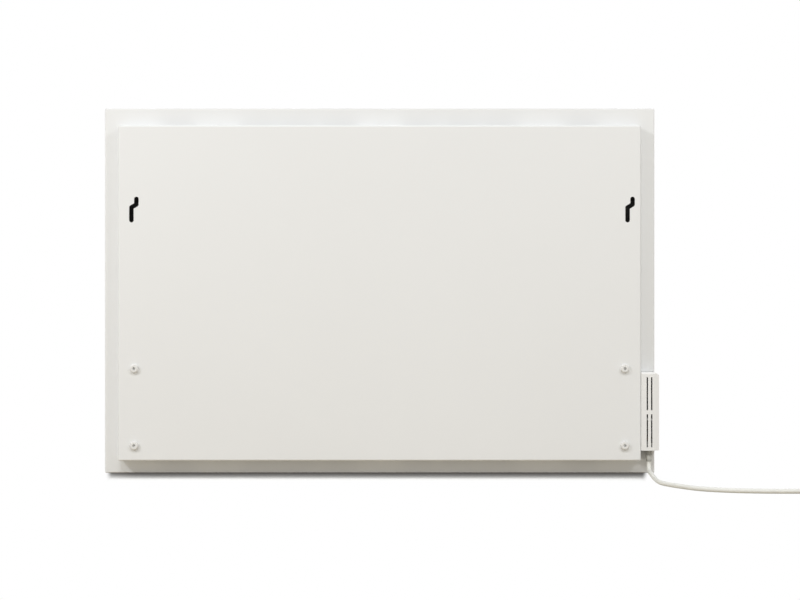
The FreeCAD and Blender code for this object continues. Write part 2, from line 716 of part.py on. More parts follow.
def heater_core():
    """Extruded finned body: a boss round the rod, two upright fins and four slanting ones."""
    start = along_rod(-1, CORE_END)
    end = along_rod(1, CORE_END)
    half = FIN_THICKNESS / 2
    reach = (CASING_DEPTH / 2 - FIN_CLEARANCE - half) / math.sin(math.radians(FIN_TILT))
    fins = []
    for upward in (0, 180):
        for tilt, length in ((0, FIN_HEIGHT), (FIN_TILT, reach), (-FIN_TILT, reach)):
            fin = block(start.x, end.x, -half, half, 0, length)
            fin.rotate(Vector(0, 0, 0), X_AXIS, upward + tilt)
            fin.translate(Vector(0, CORE_Y, CORE_Z))
            fins.append(fin)
    body = rod(CORE_BOSS_RADIUS, start, end).multiFuse(fins).removeSplitter()
    return body.cut(rod(ROD_RADIUS + FIT_GAP, start - X_AXIS, end + X_AXIS))


def along_rod(sign, x):
    """Point on the rod's axis, at a distance towards one end."""
    return Vector(sign * x, CORE_Y, CORE_Z)


def element_hanger(sign):
    """Bent sheet: a foot welded to the casing and an arm with a hole for the bush."""
    low = CORE_Z - HANGER_HEIGHT / 2
    high = CORE_Z + HANGER_HEIGHT / 2
    reach = CORE_Y - HANGER_REACH
    outer = sign * (HANGER_X + HANGER_SHEET)
    inner = sign * HANGER_X
    arm = rounded_along(block(inner, outer, INNER_BACK, reach, low, high), X_AXIS, HANGER_EDGE)
    foot = block(outer, inner - sign * HANGER_FOOT, INNER_BACK, SHIELD_BACK, low, high)
    hole = peg_hole(ROD_RADIUS + BUSH_WALL + 2 * FIT_GAP, along_rod(sign, 0), along_rod(sign, ROD_END))
    return arm.fuse(foot).removeSplitter().cut(hole)


def hanger_bush(sign):
    """Ceramic bush with a flange on the inner side of the hanger's arm."""
    bore = ROD_RADIUS + FIT_GAP
    inner = HANGER_X - BUSH_FLANGE_LENGTH
    outer = HANGER_X + HANGER_SHEET + BUSH_FLANGE_LENGTH
    sleeve = peg(bore + BUSH_WALL, along_rod(sign, inner), along_rod(sign, outer))
    flange = peg(bore + BUSH_WALL + BUSH_FLANGE, along_rod(sign, inner), along_rod(sign, HANGER_X))
    return sleeve.fuse(flange).cut(rod(bore, along_rod(sign, 0), along_rod(sign, TERMINAL_END)))


def rod_insulator(sign):
    body = peg(INSULATOR_RADIUS, along_rod(sign, ROD_END), along_rod(sign, ROD_END + INSULATOR_LENGTH))
    return body.cut(peg_hole(TERMINAL_RADIUS + FIT_GAP, along_rod(sign, 0), along_rod(sign, TERMINAL_END)))


def rod_terminal(sign):
    return peg(TERMINAL_RADIUS, along_rod(sign, ROD_END), along_rod(sign, TERMINAL_END))


# Heat shield and thermal limiter


def heat_shield():
    """Thin bright sheet between core and casing, carried on the hangers' feet, with folded lips."""
    half = HANGER_X - FIT_GAP
    sheet = block(-half, half, SHIELD_BACK, SHIELD_FRONT, SHIELD_LOW, SHIELD_HIGH)
    lips = [
        block(-half, half, SHIELD_BACK, SHIELD_BACK - SHIELD_LIP, z, z + SHIELD_SHEET)
        for z in (SHIELD_LOW, SHIELD_HIGH - SHIELD_SHEET)
    ]
    body = sheet.multiFuse(lips).removeSplitter()
    for point in rivet_points():
        body = body.cut(peg_hole(RIVET_RADIUS + FIT_GAP, point, point - Y_AXIS * CASING_DEPTH / 2))
    return body


def rivet_points():
    """Rivet axes beside the limiter, on the shield's rear side."""
    return [Vector(LIMITER_X, SHIELD_BACK, LIMITER_Z + k * LIMITER_EAR) for k in (-1, 1)]


def thermal_limiter():
    """Disc limiter with two fixing ears and two blade terminals."""
    seat = Vector(LIMITER_X, SHIELD_FRONT, LIMITER_Z)
    cap = rod(LIMITER_RADIUS, seat, seat - Y_AXIS * LIMITER_HEIGHT)
    low = seat - Z_AXIS * LIMITER_EAR
    high = seat + Z_AXIS * LIMITER_EAR
    ear = slot_prism(low, high, LIMITER_RADIUS, Y_AXIS * -LIMITER_EAR_THICKNESS)
    top = SHIELD_FRONT - LIMITER_HEIGHT
    half = LIMITER_BLADE_WIDTH / 2
    blades = [
        block(
            LIMITER_X + side * LIMITER_RADIUS / 2,
            LIMITER_X + side * (LIMITER_RADIUS + LIMITER_BLADE),
            top,
            top - LIMITER_BLADE_THICKNESS,
            LIMITER_Z - half,
            LIMITER_Z + half,
        )
        for side in (-1, 1)
    ]
    body = cap.multiFuse([ear] + blades).removeSplitter()
    for point in rivet_points():
        body = body.cut(peg_hole(RIVET_RADIUS + FIT_GAP, point, point - Y_AXIS * CASING_DEPTH / 2))
    return body


def limiter_rivet(point):
    top = point - Y_AXIS * (SHIELD_SHEET + LIMITER_EAR_THICKNESS)
    return peg(RIVET_RADIUS, point, top).fuse(peg(2 * RIVET_RADIUS, top, top - Y_AXIS * RIVET_RADIUS))


# Wires, clips, grommet and earth


def wire_clip(x):
    half = CLIP_LENGTH / 2
    high = CLIP_WIRE_HEIGHT + 2 * WIRE_RADIUS
    body = block(x - half, x + half, INNER_BACK, INNER_BACK - high, LINK_Z - half, LINK_Z + half)
    body = rounded_along(body, Y_AXIS, half / 2)
    start = Vector(x - CLIP_LENGTH, LINK_Y, LINK_Z)
    return body.cut(peg_hole(WIRE_RADIUS + FIT_GAP, start, start + X_AXIS * 2 * CLIP_LENGTH))


def wire_grommet():
    """Rubber ring through the housing's inner wall and the casing's side."""
    inner = -CASING_SIDE + CASING_SHEET

    def at(x):
        return Vector(x, GROMMET_Y, GROMMET_Z)

    neck = peg(GROMMET_NECK, at(INNER_WALL), at(inner))
    flanges = [
        peg(GROMMET_FLANGE, at(INNER_WALL), at(INNER_WALL - GROMMET_FLANGE_THICKNESS)),
        peg(GROMMET_FLANGE, at(inner), at(inner + GROMMET_FLANGE_THICKNESS)),
    ]
    bore = peg_hole(GROMMET_BORE, at(INNER_WALL - GROMMET_FLANGE), at(inner + GROMMET_FLANGE))
    return neck.multiFuse(flanges).cut(bore)


def bore_place(angle):
    """Depth and height of one of the three wires in the grommet's bore."""
    turn = math.radians(angle)
    return GROMMET_Y + WIRE_SPREAD * math.cos(turn), GROMMET_Z + WIRE_SPREAD * math.sin(turn)


def earth_stud():
    base = Vector(EARTH_X, INNER_BACK, EARTH_Z)
    return peg(STUD_RADIUS, base, base - Y_AXIS * STUD_HEIGHT)


def earth_nut():
    seat = Vector(EARTH_X, INNER_BACK - RING_THICKNESS, EARTH_Z)
    body = Part.Face(facet_ring(seat, Y_AXIS, NUT_RADIUS, NUT_SIDES)).extrude(Y_AXIS * -NUT_HEIGHT)
    return body.cut(peg_hole(STUD_RADIUS + FIT_GAP, seat + Y_AXIS, seat - Y_AXIS * STUD_HEIGHT))


def earth_ring():
    """Ring terminal under the nut, with the crimped barrel that holds the earth wire."""
    base = Vector(EARTH_X, INNER_BACK, EARTH_Z)
    ring = peg(RING_RADIUS, base, base - Y_AXIS * RING_THICKNESS)
    barrel_start = Vector(EARTH_X, BARREL_Y, EARTH_Z + NUT_RADIUS + RUNNING_GAP)
    tongue = block(
        EARTH_X - BARREL_RADIUS,
        EARTH_X + BARREL_RADIUS,
        INNER_BACK,
        INNER_BACK - RING_THICKNESS,
        EARTH_Z,
        BARREL_TOP,
    )
    barrel = peg(BARREL_RADIUS, barrel_start, Vector(EARTH_X, BARREL_Y, BARREL_TOP))
    body = ring.multiFuse([tongue, barrel])
    return body.cut(peg_hole(STUD_RADIUS + FIT_GAP, base + Y_AXIS, base - Y_AXIS * RING_THICKNESS * 2))


def earth_wire():
    y, z = bore_place(270)
    inside = -CASING_SIDE + WIRE_INSIDE
    return wire(
        (RELIEF_X, CONTROL_Y - CONDUCTOR_OFFSET, LEAD_TOP),
        (RELIEF_X, CONTROL_Y - CONDUCTOR_OFFSET, LEAD_TOP + WIRE_END),
        (RELIEF_X + 5.0, CONTROL_Y - 8.0, LEAD_TOP + 9.0),
        (RELIEF_X + 6.0, y, z),
        (inside, y, z),
        (EARTH_X, BARREL_Y - 8.0, BARREL_TOP + 15.0),
        (EARTH_X, BARREL_Y, BARREL_TOP + 8.0),
        (EARTH_X, BARREL_Y, BARREL_TOP),
    )


def load_wires():
    """Wires from the board to the heating rod and to the thermal limiter."""
    near_y, near_z = bore_place(30)
    far_y, far_z = bore_place(150)
    face = TERMINAL_FACE
    turn = face + WIRE_END
    inside = -CASING_SIDE + WIRE_INSIDE
    to_rod = wire(
        (face, LOAD_Y, LOAD_ROWS[0]),
        (turn, LOAD_Y, LOAD_ROWS[0]),
        (turn, near_y, near_z),
        (inside, near_y, near_z),
        (inside + 10.0, near_y + 2.0, near_z + 13.0),
        (-TERMINAL_END - 9.5, CORE_Y - 0.5, CORE_Z - 3.0),
        (-TERMINAL_END - WIRE_END, CORE_Y, CORE_Z),
        (-TERMINAL_END, CORE_Y, CORE_Z),
    )
    blade = LIMITER_X - LIMITER_RADIUS - LIMITER_BLADE
    to_limiter = wire(
        (face, LOAD_Y, LOAD_ROWS[1]),
        (turn, LOAD_Y, LOAD_ROWS[1]),
        (turn, far_y, LOAD_ROWS[1] - 6.0),
        (turn - 0.5, far_y, far_z),
        (inside, far_y, far_z),
        (inside + 15.0, far_y - 3.0, far_z + 18.0),
        (-TERMINAL_END + 4.0, far_y - 3.5, CORE_Z + 12.0),
        (blade - 22.0, (far_y + LIMITER_TERMINAL_Y) / 2, LIMITER_Z - 6.0),
        (blade - 8.0, LIMITER_TERMINAL_Y, LIMITER_Z),
        (blade, LIMITER_TERMINAL_Y, LIMITER_Z),
    )
    return Part.makeCompound([to_rod, to_limiter])


def link_wire():
    """Wire from the limiter over the shield to the rod's far end."""
    blade = LIMITER_X + LIMITER_RADIUS + LIMITER_BLADE
    return wire(
        (blade, LIMITER_TERMINAL_Y, LIMITER_Z),
        (blade + 8.0, LIMITER_TERMINAL_Y, LIMITER_Z),
        (blade + 24.0, LIMITER_TERMINAL_Y, LINK_Z - 8.0),
        (blade + 36.0, LINK_Y, LINK_Z),
        (HANGER_X - 14.0, LINK_Y, LINK_Z),
        (HANGER_X + 14.0, LINK_Y - 4.0, LINK_Z - 12.0),
        (TERMINAL_END + 4.0, CORE_Y + 5.0, CORE_Z + 30.0),
        (TERMINAL_END + 9.5, CORE_Y + 0.5, CORE_Z + 4.0),
        (TERMINAL_END + WIRE_END, CORE_Y, CORE_Z),
        (TERMINAL_END, CORE_Y, CORE_Z),
    )


# Control housing and vent cover


def housing_outline():
    """Section of the housing, stepped to clear the panel's outer bend."""
    return [
        Vector(-CASING_SIDE, PANEL_BACK, 0),
        Vector(STEP_X, PANEL_BACK, 0),
        Vector(STEP_X, STEP_Y, 0),
        Vector(FACE, STEP_Y, 0),
        Vector(FACE, 0, 0),
        Vector(-CASING_SIDE, 0, 0),
    ]


def housing_cavity():
    wall = HOUSING_WALL
    low = HOUSING_BOTTOM + wall
    high = HOUSING_TOP - wall
    deep = block(STEP_X + wall, INNER_WALL, PANEL_BACK + wall, CUT_OVER, low, high)
    side = block(FACE + wall, INNER_WALL, STEP_Y + wall, CUT_OVER, low, high)
    return deep.fuse(side).removeSplitter().cut(beyond_corner(wall))


def beyond_corner(inset):
    """Prism past the housing's sloped top corner, with its slope moved inwards by an inset."""
    along = Vector(CORNER_RUN, 0, CORNER_DROP)
    reach = along.Length
    along.normalize()
    inward = Vector(along.z, 0, -along.x)
    start = Vector(FACE, PANEL_BACK - CUT_OVER, HOUSING_TOP - CORNER_DROP)
    middle = start + along * (reach / 2) + inward * inset
    corners = [middle - along * 2 * reach, middle + along * 2 * reach, middle - inward * 2 * reach]
    return Part.Face(Part.makePolygon(corners + corners[:1])).extrude(Y_AXIS * 2 * CASING_DEPTH)


def board_posts():
    """Post axes that carry the circuit board, from the housing's inner wall."""
    return [
        Vector(INNER_WALL, BOARD_LOW_Y + BOARD_POST_FROM_EDGE, BOARD_TOP - BOARD_POST_FROM_END),
        Vector(INNER_WALL, BOARD_HIGH_Y - BOARD_POST_FROM_EDGE, BOARD_BOTTOM + BOARD_POST_FROM_END),
    ]


def clamp_screw_points():
    """Places of the two screws that hold the cord clamp on its saddle."""
    y = CONTROL_Y + RUNNING_GAP
    z = SADDLE_LOW + CLAMP_LENGTH / 2
    return [Vector(RELIEF_X + k * CLAMP_SCREW_OFFSET, y, z) for k in (-1, 1)]


def control_housing():
    section = housing_outline()
    foot = Part.Face(Part.makePolygon(section + section[:1]))
    foot.translate(Vector(0, 0, HOUSING_BOTTOM))
    body = foot.extrude(Z_AXIS * HOUSING_HEIGHT)
    shell = body.makeFillet(HOUSING_CORNER, low_corner(body)).cut(beyond_corner(0))
    body = shell.cut(housing_cavity())
    saddle = block(
        RELIEF_X - CLAMP_WIDTH / 2,
        RELIEF_X + CLAMP_WIDTH / 2,
        PANEL_BACK + HOUSING_WALL,
        CONTROL_Y,
        SADDLE_LOW,
        SADDLE_LOW + CLAMP_LENGTH,
    )
    joined = [saddle.common(shell)]
    for post in board_posts():
        shoulder = Vector(BOARD_INNER, post.y, post.z)
        joined.append(peg(BOARD_POST_RADIUS, post, shoulder))
        joined.append(peg(POST_PIN_RADIUS, shoulder, shoulder - X_AXIS * BOARD_THICKNESS))
    body = body.multiFuse(joined).removeSplitter()
    below = Vector(RELIEF_X, CONTROL_Y, HOUSING_BOTTOM - CUT_OVER)
    snap = 2 * (SWITCH_WALL - FIT_GAP)
    cutters = [
        rod(RELIEF_TOP_RADIUS + FIT_GAP, below, below + Z_AXIS * (HOUSING_WALL + 2 * CUT_OVER)),
        rod(CORD_RADIUS + FIT_GAP, below, Vector(RELIEF_X, CONTROL_Y, LEAD_TOP)),
        wall_opening(WINDOW_Z, WINDOW_WIDTH, WINDOW_HEIGHT, KEY_CORNER),
        wall_opening(SWITCH_Z, SWITCH_WIDTH - snap, SWITCH_HEIGHT - snap, FIT_GAP),
    ]
    for z in KEY_ROWS.values():
        side = KEY_SIDE + 2 * RUNNING_GAP
        cutters.append(wall_opening(z, side, side, KEY_CORNER + RUNNING_GAP))
    cutters += [side_drill(SCREW_RADIUS + FIT_GAP, point.y, point.z) for point in housing_screw_points()]
    cutters.append(side_drill(GROMMET_NECK + FIT_GAP, GROMMET_Y, GROMMET_Z))
    for point in clamp_screw_points():
        cutters.append(peg_hole(CLAMP_SCREW_RADIUS + FIT_GAP, point, point - Y_AXIS * CLAMP_SCREW_DEPTH))
    return body.cut(Part.makeCompound(cutters))


def low_corner(shape):
    """Edge along the depth at the housing's outer bottom corner."""
    return edges_where(shape, lambda p: abs(p.x - FACE) + abs(p.z - HOUSING_BOTTOM) < 1e-6)


def wall_opening(z, width, height, corner):
    """Cutter through the housing's outer wall, centred on the row of controls."""
    opening = block(
        FACE - CUT_OVER,
        FACE + HOUSING_WALL + CUT_OVER,
        CONTROL_Y - width / 2,
        CONTROL_Y + width / 2,
        z - height / 2,
        z + height / 2,
    )
    return rounded_along(opening, X_AXIS, corner)


def cover_bevel(start, across, along):
    """Prism that bevels the lid's outer face from a point on its edge, over a run across the edge."""
    corners = [start, start + across, start - Y_AXIS * COVER_BEVEL]
    return Part.Face(Part.makePolygon(corners + corners[:1])).extrude(along)


def vent_cover():
    """Lid with a bevelled top and outer side, four narrow slots and a lip that fits in the housing."""
    inner = -CASING_SIDE - COVER_FROM_CASING
    plate = block(FACE, inner, 0, COVER_THICKNESS, HOUSING_BOTTOM, HOUSING_TOP)
    plate = plate.makeFillet(HOUSING_CORNER, low_corner(plate)).cut(beyond_corner(0))
    side = Vector(FACE, COVER_THICKNESS, HOUSING_BOTTOM)
    top = Vector(FACE, COVER_THICKNESS, HOUSING_TOP)
    plate = plate.cut(cover_bevel(side, X_AXIS * COVER_FACET, Z_AXIS * HOUSING_HEIGHT))
    plate = plate.cut(cover_bevel(top, Z_AXIS * -COVER_TOP_BEVEL, X_AXIS * HOUSING_WIDTH))
    inset = HOUSING_WALL + FIT_GAP

    def ring(offset, depth):
        body = block(
            FACE + offset, -CASING_SIDE - offset, 0, -depth, HOUSING_BOTTOM + offset, HOUSING_TOP - offset
        )
        return body.cut(beyond_corner(offset))

    lip = ring(inset, COVER_LIP).cut(ring(inset + COVER_THICKNESS / 2, COVER_LIP + CUT_OVER))
    body = plate.fuse(lip).removeSplitter()
    wide = SLIT_WIDTH / 2
    high = SLIT_LENGTH / 2
    for column in (-0.5, 0.5):
        for row in (-0.5, 0.5):
            x = HOUSING_X + SLIT_OFFSET + column * SLIT_COLUMN_PITCH
            z = COVER_MIDDLE + row * (SLIT_LENGTH + SLIT_ROW_GAP)
            slit = block(x - wide, x + wide, -CUT_OVER, COVER_THICKNESS + CUT_OVER, z - high, z + high)
            body = body.cut(slit)
    return body


def housing_screw(point):
    shank = peg(SCREW_RADIUS, point, point + X_AXIS * (HOUSING_WALL + CASING_SHEET + SCREW_STICK_OUT))
    head = peg(SCREW_HEAD_RADIUS, point, point - X_AXIS * SCREW_HEAD_HEIGHT)
    return shank.fuse(head)


# Circuit board and what it carries


def control_board():
    board = block(BOARD_OUTER, BOARD_INNER, BOARD_LOW_Y, BOARD_HIGH_Y, BOARD_BOTTOM, BOARD_TOP)
    for post in board_posts():
        start = Vector(BOARD_OUTER - CUT_OVER, post.y, post.z)
        end = Vector(BOARD_INNER + CUT_OVER, post.y, post.z)
        board = board.cut(peg_hole(POST_PIN_RADIUS + FIT_GAP, start, end))
    return board


def board_block(y0, y1, z0, z1, height):
    """Component that stands on the board's inner side."""
    return block(BOARD_INNER, BOARD_INNER + height, y0, y1, z0, z1)


def board_parts():
    """Relay, capacitor, two terminal blocks and the display, each seated on the board."""
    low = BOARD_BOTTOM + RELAY_ABOVE_BOARD_END
    half = RELAY_WIDTH / 2
    relay = board_block(CONTROL_Y - half, CONTROL_Y + half, low, low + RELAY_LENGTH, RELAY_HEIGHT)
    foot = Vector(BOARD_INNER, CONTROL_Y + CAPACITOR_OFFSET, BOARD_TOP - CAPACITOR_BELOW_BOARD_TOP)
    return {
        "board_relay": rounded_along(relay, X_AXIS, RELAY_EDGE),
        "board_capacitor": peg(CAPACITOR_RADIUS, foot, foot + X_AXIS * CAPACITOR_HEIGHT),
        "supply_terminals": board_block(
            min(SUPPLY_Y) - SUPPLY_MARGIN,
            max(SUPPLY_Y) + SUPPLY_MARGIN,
            SUPPLY_Z - SUPPLY_HALF_LENGTH,
            SUPPLY_Z + SUPPLY_HALF_LENGTH,
            TERMINAL_HEIGHT,
        ),
        "load_terminals": board_block(
            LOAD_Y - LOAD_HALF_WIDTH,
            LOAD_Y + LOAD_HALF_WIDTH,
            min(LOAD_ROWS) - LOAD_MARGIN,
            max(LOAD_ROWS) + LOAD_MARGIN,
            TERMINAL_HEIGHT,
        ),
        "display_module": block(
            BOARD_OUTER,
            FACE + HOUSING_WALL + KEY_FLANGE + DISPLAY_GAP,
            CONTROL_Y - WINDOW_WIDTH / 2,
            CONTROL_Y + WINDOW_WIDTH / 2,
            WINDOW_Z - WINDOW_HEIGHT / 2,
            WINDOW_Z + WINDOW_HEIGHT / 2,
        ),
    }


def key_switches():
    half = KEY_SWITCH_SIDE / 2
    bodies = []
    for z in KEY_ROWS.values():
        face = BOARD_OUTER - KEY_SWITCH_HEIGHT
        base = block(BOARD_OUTER, face, CONTROL_Y - half, CONTROL_Y + half, z - half, z + half)
        top = Vector(face, CONTROL_Y, z)
        bodies.append(base.fuse(peg(half / 2, top, top - X_AXIS * PLUNGER_HEIGHT)))
    return Part.makeCompound(bodies)


def room_sensor():
    """Bead thermistor on its leads below the board."""
    x = (BOARD_OUTER + BOARD_INNER) / 2
    y = BOARD_HIGH_Y - SENSOR_FROM_BOARD_EDGE
    end = Vector(x, y, BOARD_BOTTOM - SENSOR_DROP)
    lead = peg(SENSOR_LEAD_RADIUS, Vector(x, y, BOARD_BOTTOM), end)
    half = Z_AXIS * SENSOR_RADIUS
    return peg(SENSOR_RADIUS, end - half, end + half).fuse(lead)


# Keys, display window and mains rocker switch


def key_cap(z):
    """Square key with a retaining flange behind the housing's wall."""
    half = KEY_SIDE / 2
    cap = block(FACE - KEY_PROUD, KEY_BACK, CONTROL_Y - half, CONTROL_Y + half, z - half, z + half)
    cap = rounded_along(cap, X_AXIS, KEY_CORNER)
    top = edges_where(cap, lambda p: abs(p.x - FACE + KEY_PROUD) < 1e-6)
    cap = cap.makeChamfer(KEY_PROUD / 2, top)
    wide = half + KEY_FLANGE
    flange = block(KEY_BACK, KEY_BACK + KEY_FLANGE, CONTROL_Y - wide, CONTROL_Y + wide, z - wide, z + wide)
    return cap.fuse(flange).removeSplitter()


def display_window():
    """Smoked window plug with a flange behind the housing's wall."""
    inner = FACE + HOUSING_WALL

    def pane(x0, x1, grow):
        y = WINDOW_WIDTH / 2 + grow
        z = WINDOW_HEIGHT / 2 + grow
        return block(x0, x1, CONTROL_Y - y, CONTROL_Y + y, WINDOW_Z - z, WINDOW_Z + z)

    plug = rounded_along(pane(FACE, inner, -FIT_GAP), X_AXIS, KEY_CORNER)
    return plug.fuse(pane(inner, inner + KEY_FLANGE, KEY_FLANGE - FIT_GAP)).removeSplitter()


def switch_frame():
    """Snap-in switch body with a bezel, a pocket for the rocker and four blade terminals."""
    half_y = SWITCH_WIDTH / 2
    half_z = SWITCH_HEIGHT / 2

    def centred(x0, x1, y, z):
        return block(x0, x1, CONTROL_Y - y, CONTROL_Y + y, SWITCH_Z - z, SWITCH_Z + z)

    bezel = rounded_along(centred(FACE - SWITCH_PROUD, FACE, half_y, half_z), X_AXIS, KEY_CORNER)
    rim = edges_where(bezel, lambda p: abs(p.x - FACE + SWITCH_PROUD) < 1e-6)
    bezel = bezel.makeChamfer(SWITCH_PROUD / 2, rim)
    body = bezel.fuse(centred(FACE, SWITCH_REAR, half_y - SWITCH_WALL, half_z - SWITCH_WALL))
    wide = BLADE_WIDTH / 2
    thin = BLADE_THICKNESS / 2
    blades = [
        block(SWITCH_REAR, SWITCH_REAR + BLADE_LENGTH, y - wide, y + wide, z - thin, z + thin)
        for y in SUPPLY_Y
        for z in BLADE_ROWS
    ]
    body = body.multiFuse(blades).removeSplitter()
    pocket = centred(FACE - SWITCH_PROUD - CUT_OVER, FACE + POCKET_DEPTH, POCKET_Y, POCKET_Z)
    reach = Y_AXIS * (POCKET_Y + ROCKER_PIN_GRIP + FIT_GAP)
    return body.cut(pocket).cut(rod(ROCKER_PIN_RADIUS + FIT_GAP / 2, PIVOT - reach, PIVOT + reach))


def switch_rocker():
    """Rocker with a shallow valley on top and ends that follow a circle round the pivot."""
    half_y = POCKET_Y - 2 * FIT_GAP
    end_radius = POCKET_Z - 2 * FIT_GAP
    valley = ROCKER_ABOVE_PIVOT
    edge = valley + end_radius * math.tan(math.radians(ROCKER_TILT))
    upper = [(valley, 0), (edge, end_radius), (-ROCKER_BELOW_PIVOT, end_radius)]
    lower = [(-ROCKER_BELOW_PIVOT, -end_radius), (edge, -end_radius)]
    corners = [PIVOT + Vector(-out, -half_y, up) for out, up in lower + upper]
    profile = Part.Face(Part.makePolygon(corners + corners[:1]))
    body = profile.extrude(Y_AXIS * 2 * half_y)
    around = rod(end_radius, PIVOT - Y_AXIS * SWITCH_WIDTH, PIVOT + Y_AXIS * SWITCH_WIDTH)
    body = body.common(around)
    reach = Y_AXIS * (POCKET_Y + ROCKER_PIN_GRIP)
    body = body.fuse(rod(ROCKER_PIN_RADIUS, PIVOT - reach, PIVOT + reach))
    body.rotate(PIVOT, Y_AXIS, -ROCKER_TILT)
    return body


def supply_wires():
    """Wires from the lead to the switch and from the switch to the board."""
    blade = SWITCH_REAR + BLADE_LENGTH
    turn = blade + 5.0
    wires = []
    for y, across, inwards in zip(SUPPLY_Y, (CONDUCTOR_OFFSET, 0), (0, CONDUCTOR_OFFSET)):
        x = RELIEF_X + inwards
        start = CONTROL_Y + across
        wires.append(
            wire(
                (x, start, LEAD_TOP),
                (x, start, LEAD_TOP + WIRE_END),
                (turn, y, BLADE_ROWS[0] - 4.5),
                (turn, y, BLADE_ROWS[0]),
                (blade, y, BLADE_ROWS[0]),
            )
        )
        wires.append(
            wire(
                (blade, y, BLADE_ROWS[1]),
                (turn, y, BLADE_ROWS[1]),
                (turn, y, SUPPLY_Z),
                (TERMINAL_FACE, y, SUPPLY_Z),
            )
        )
    return Part.makeCompound(wires)


# Strain relief, cord clamp and the lead's inner end


def strain_relief():
    """Tapered sleeve with ring grooves, a neck through the housing's floor and an inner flange."""
    floor = HOUSING_BOTTOM + HOUSING_WALL
    profile = [
        Vector(0, 0, floor + HOUSING_WALL),
        Vector(RELIEF_FLANGE, 0, floor + HOUSING_WALL),
        Vector(RELIEF_FLANGE, 0, floor),
        Vector(RELIEF_TOP_RADIUS, 0, floor),
        Vector(RELIEF_TOP_RADIUS, 0, HOUSING_BOTTOM),
        Vector(RELIEF_END_RADIUS, 0, RELIEF_END),
        Vector(0, 0, RELIEF_END),
    ]
    body = Part.Face(Part.makePolygon(profile + profile[:1])).revolve(Vector(0, 0, 0), Z_AXIS, 360)
    pitch = RELIEF_LENGTH / (RELIEF_GROOVES + 1)
    for k in range(1, RELIEF_GROOVES + 1):
        z = HOUSING_BOTTOM - k * pitch
        radius = RELIEF_TOP_RADIUS - (RELIEF_TOP_RADIUS - RELIEF_END_RADIUS) * k / (RELIEF_GROOVES + 1)
        low = Vector(0, 0, z - GROOVE_WIDTH / 2)
        high = Vector(0, 0, z + GROOVE_WIDTH / 2)
        body = body.cut(rod(RELIEF_FLANGE, low, high).cut(rod(radius - GROOVE_DEPTH, low, high)))
    body = body.cut(rod(CORD_RADIUS + FIT_GAP / 2, Vector(0, 0, RELIEF_END - 1), Vector(0, 0, LEAD_TOP)))
    body.translate(Vector(RELIEF_X, CONTROL_Y, 0))
    return body


def inner_lead():
    return rod(CORD_RADIUS, Vector(RELIEF_X, CONTROL_Y, RELIEF_END), Vector(RELIEF_X, CONTROL_Y, LEAD_TOP))


def cord_clamp():
    low = CONTROL_Y + RUNNING_GAP
    bar = block(
        RELIEF_X - CLAMP_WIDTH / 2,
        RELIEF_X + CLAMP_WIDTH / 2,
        low,
        low + CLAMP_THICKNESS,
        SADDLE_LOW,
        SADDLE_LOW + CLAMP_LENGTH,
    )
    bar = rounded_along(bar, Y_AXIS, CLAMP_EDGE)
    groove = Vector(RELIEF_X, CONTROL_Y, SADDLE_LOW - CUT_OVER)
    bar = bar.cut(rod(CORD_RADIUS + FIT_GAP, groove, groove + Z_AXIS * (CLAMP_LENGTH + 2 * CUT_OVER)))
    for point in clamp_screw_points():
        top = point + Y_AXIS * (CLAMP_THICKNESS + CUT_OVER)
        bar = bar.cut(peg_hole(CLAMP_SCREW_RADIUS + FIT_GAP, point - Y_AXIS, top))
    return bar


def clamp_screw(point):
    top = point + Y_AXIS * CLAMP_THICKNESS
    shank = peg(CLAMP_SCREW_RADIUS, top, point - Y_AXIS * (CLAMP_SCREW_DEPTH - CUT_OVER))
    return shank.fuse(peg(2 * CLAMP_SCREW_RADIUS, top, top + Y_AXIS * CLAMP_SCREW_RADIUS))


# Mains cord: the free stretch, the tied coil and the tail with its plug


def cord_route():
    """Points of the free stretch, from the strain relief to the coil."""
    rest = CORD_REST_Z
    out = [Vector(RELIEF_X, CONTROL_Y, RELIEF_END), Vector(RELIEF_X, CONTROL_Y, RELIEF_END - LEAD_DROP)]
    along = [Vector(RELIEF_X + x, CONTROL_Y + y, rest) for x, y in CORD_RUN]
    ramp = [Vector(COIL_ENTRY.x + RAMP_START, COIL_ENTRY.y, rest), COIL_ENTRY + X_AXIS * RAMP_END, COIL_ENTRY]
    return out + along + ramp


def tail_route():
    """Points from the coil down to the plug, which lies beside it."""
    x = COIL_EXIT.x
    y = COIL_EXIT.y
    return [
        COIL_EXIT,
        Vector(x, y - TAIL_LEVEL, COIL_UPPER_Z),
        Vector(x, y - TAIL_DROP, CORD_REST_Z),
        PLUG_START - PLUG_AXIS * PLUG_LEAD,
        PLUG_START,
    ]


def report_tube(name, length, radii, ratio):
    sizes = ", ".join(f"{r:.1f}" for r in radii)
    print(f"{name}: length {length:.1f}, arc radii {sizes}, volume over section x length {ratio:.4f}")


def coil_point(turn):
    """Point of the coil after so many turns: in along the floor, up a layer, and out again."""
    middle = COIL_HALF
    angle = math.pi / 2 + 2 * math.pi * turn
    radius = COIL_INNER_RADIUS + COIL_STEP * abs(turn - middle)
    climb = min(max((turn - middle) / 0.5 + 0.5, 0.0), 1.0)
    climb = climb * climb * (3 - 2 * climb)
    return Vector(
        COIL_CENTRE.x + radius * math.cos(angle),
        COIL_CENTRE.y + radius * math.sin(angle),
        COIL_LOWER_Z + COIL_STEP * climb,
    )


def coil_direction(turn):
    """Direction of the coil's line, level and round at its two ends."""
    if turn <= 0:
        return Vector(-1, 0, 0)
    if turn >= COIL_TURNS:
        return Vector(0, -1, 0)
    step = 1e-3
    if abs(turn - COIL_HALF) < step:
        angle = math.pi / 2 + 2 * math.pi * turn
        rise = 1.5 * COIL_STEP / (math.pi * COIL_INNER_RADIUS)
        along = Vector(-math.sin(angle), math.cos(angle), rise)
    else:
        along = coil_point(turn + step) - coil_point(turn - step)
    along.normalize()
    return along


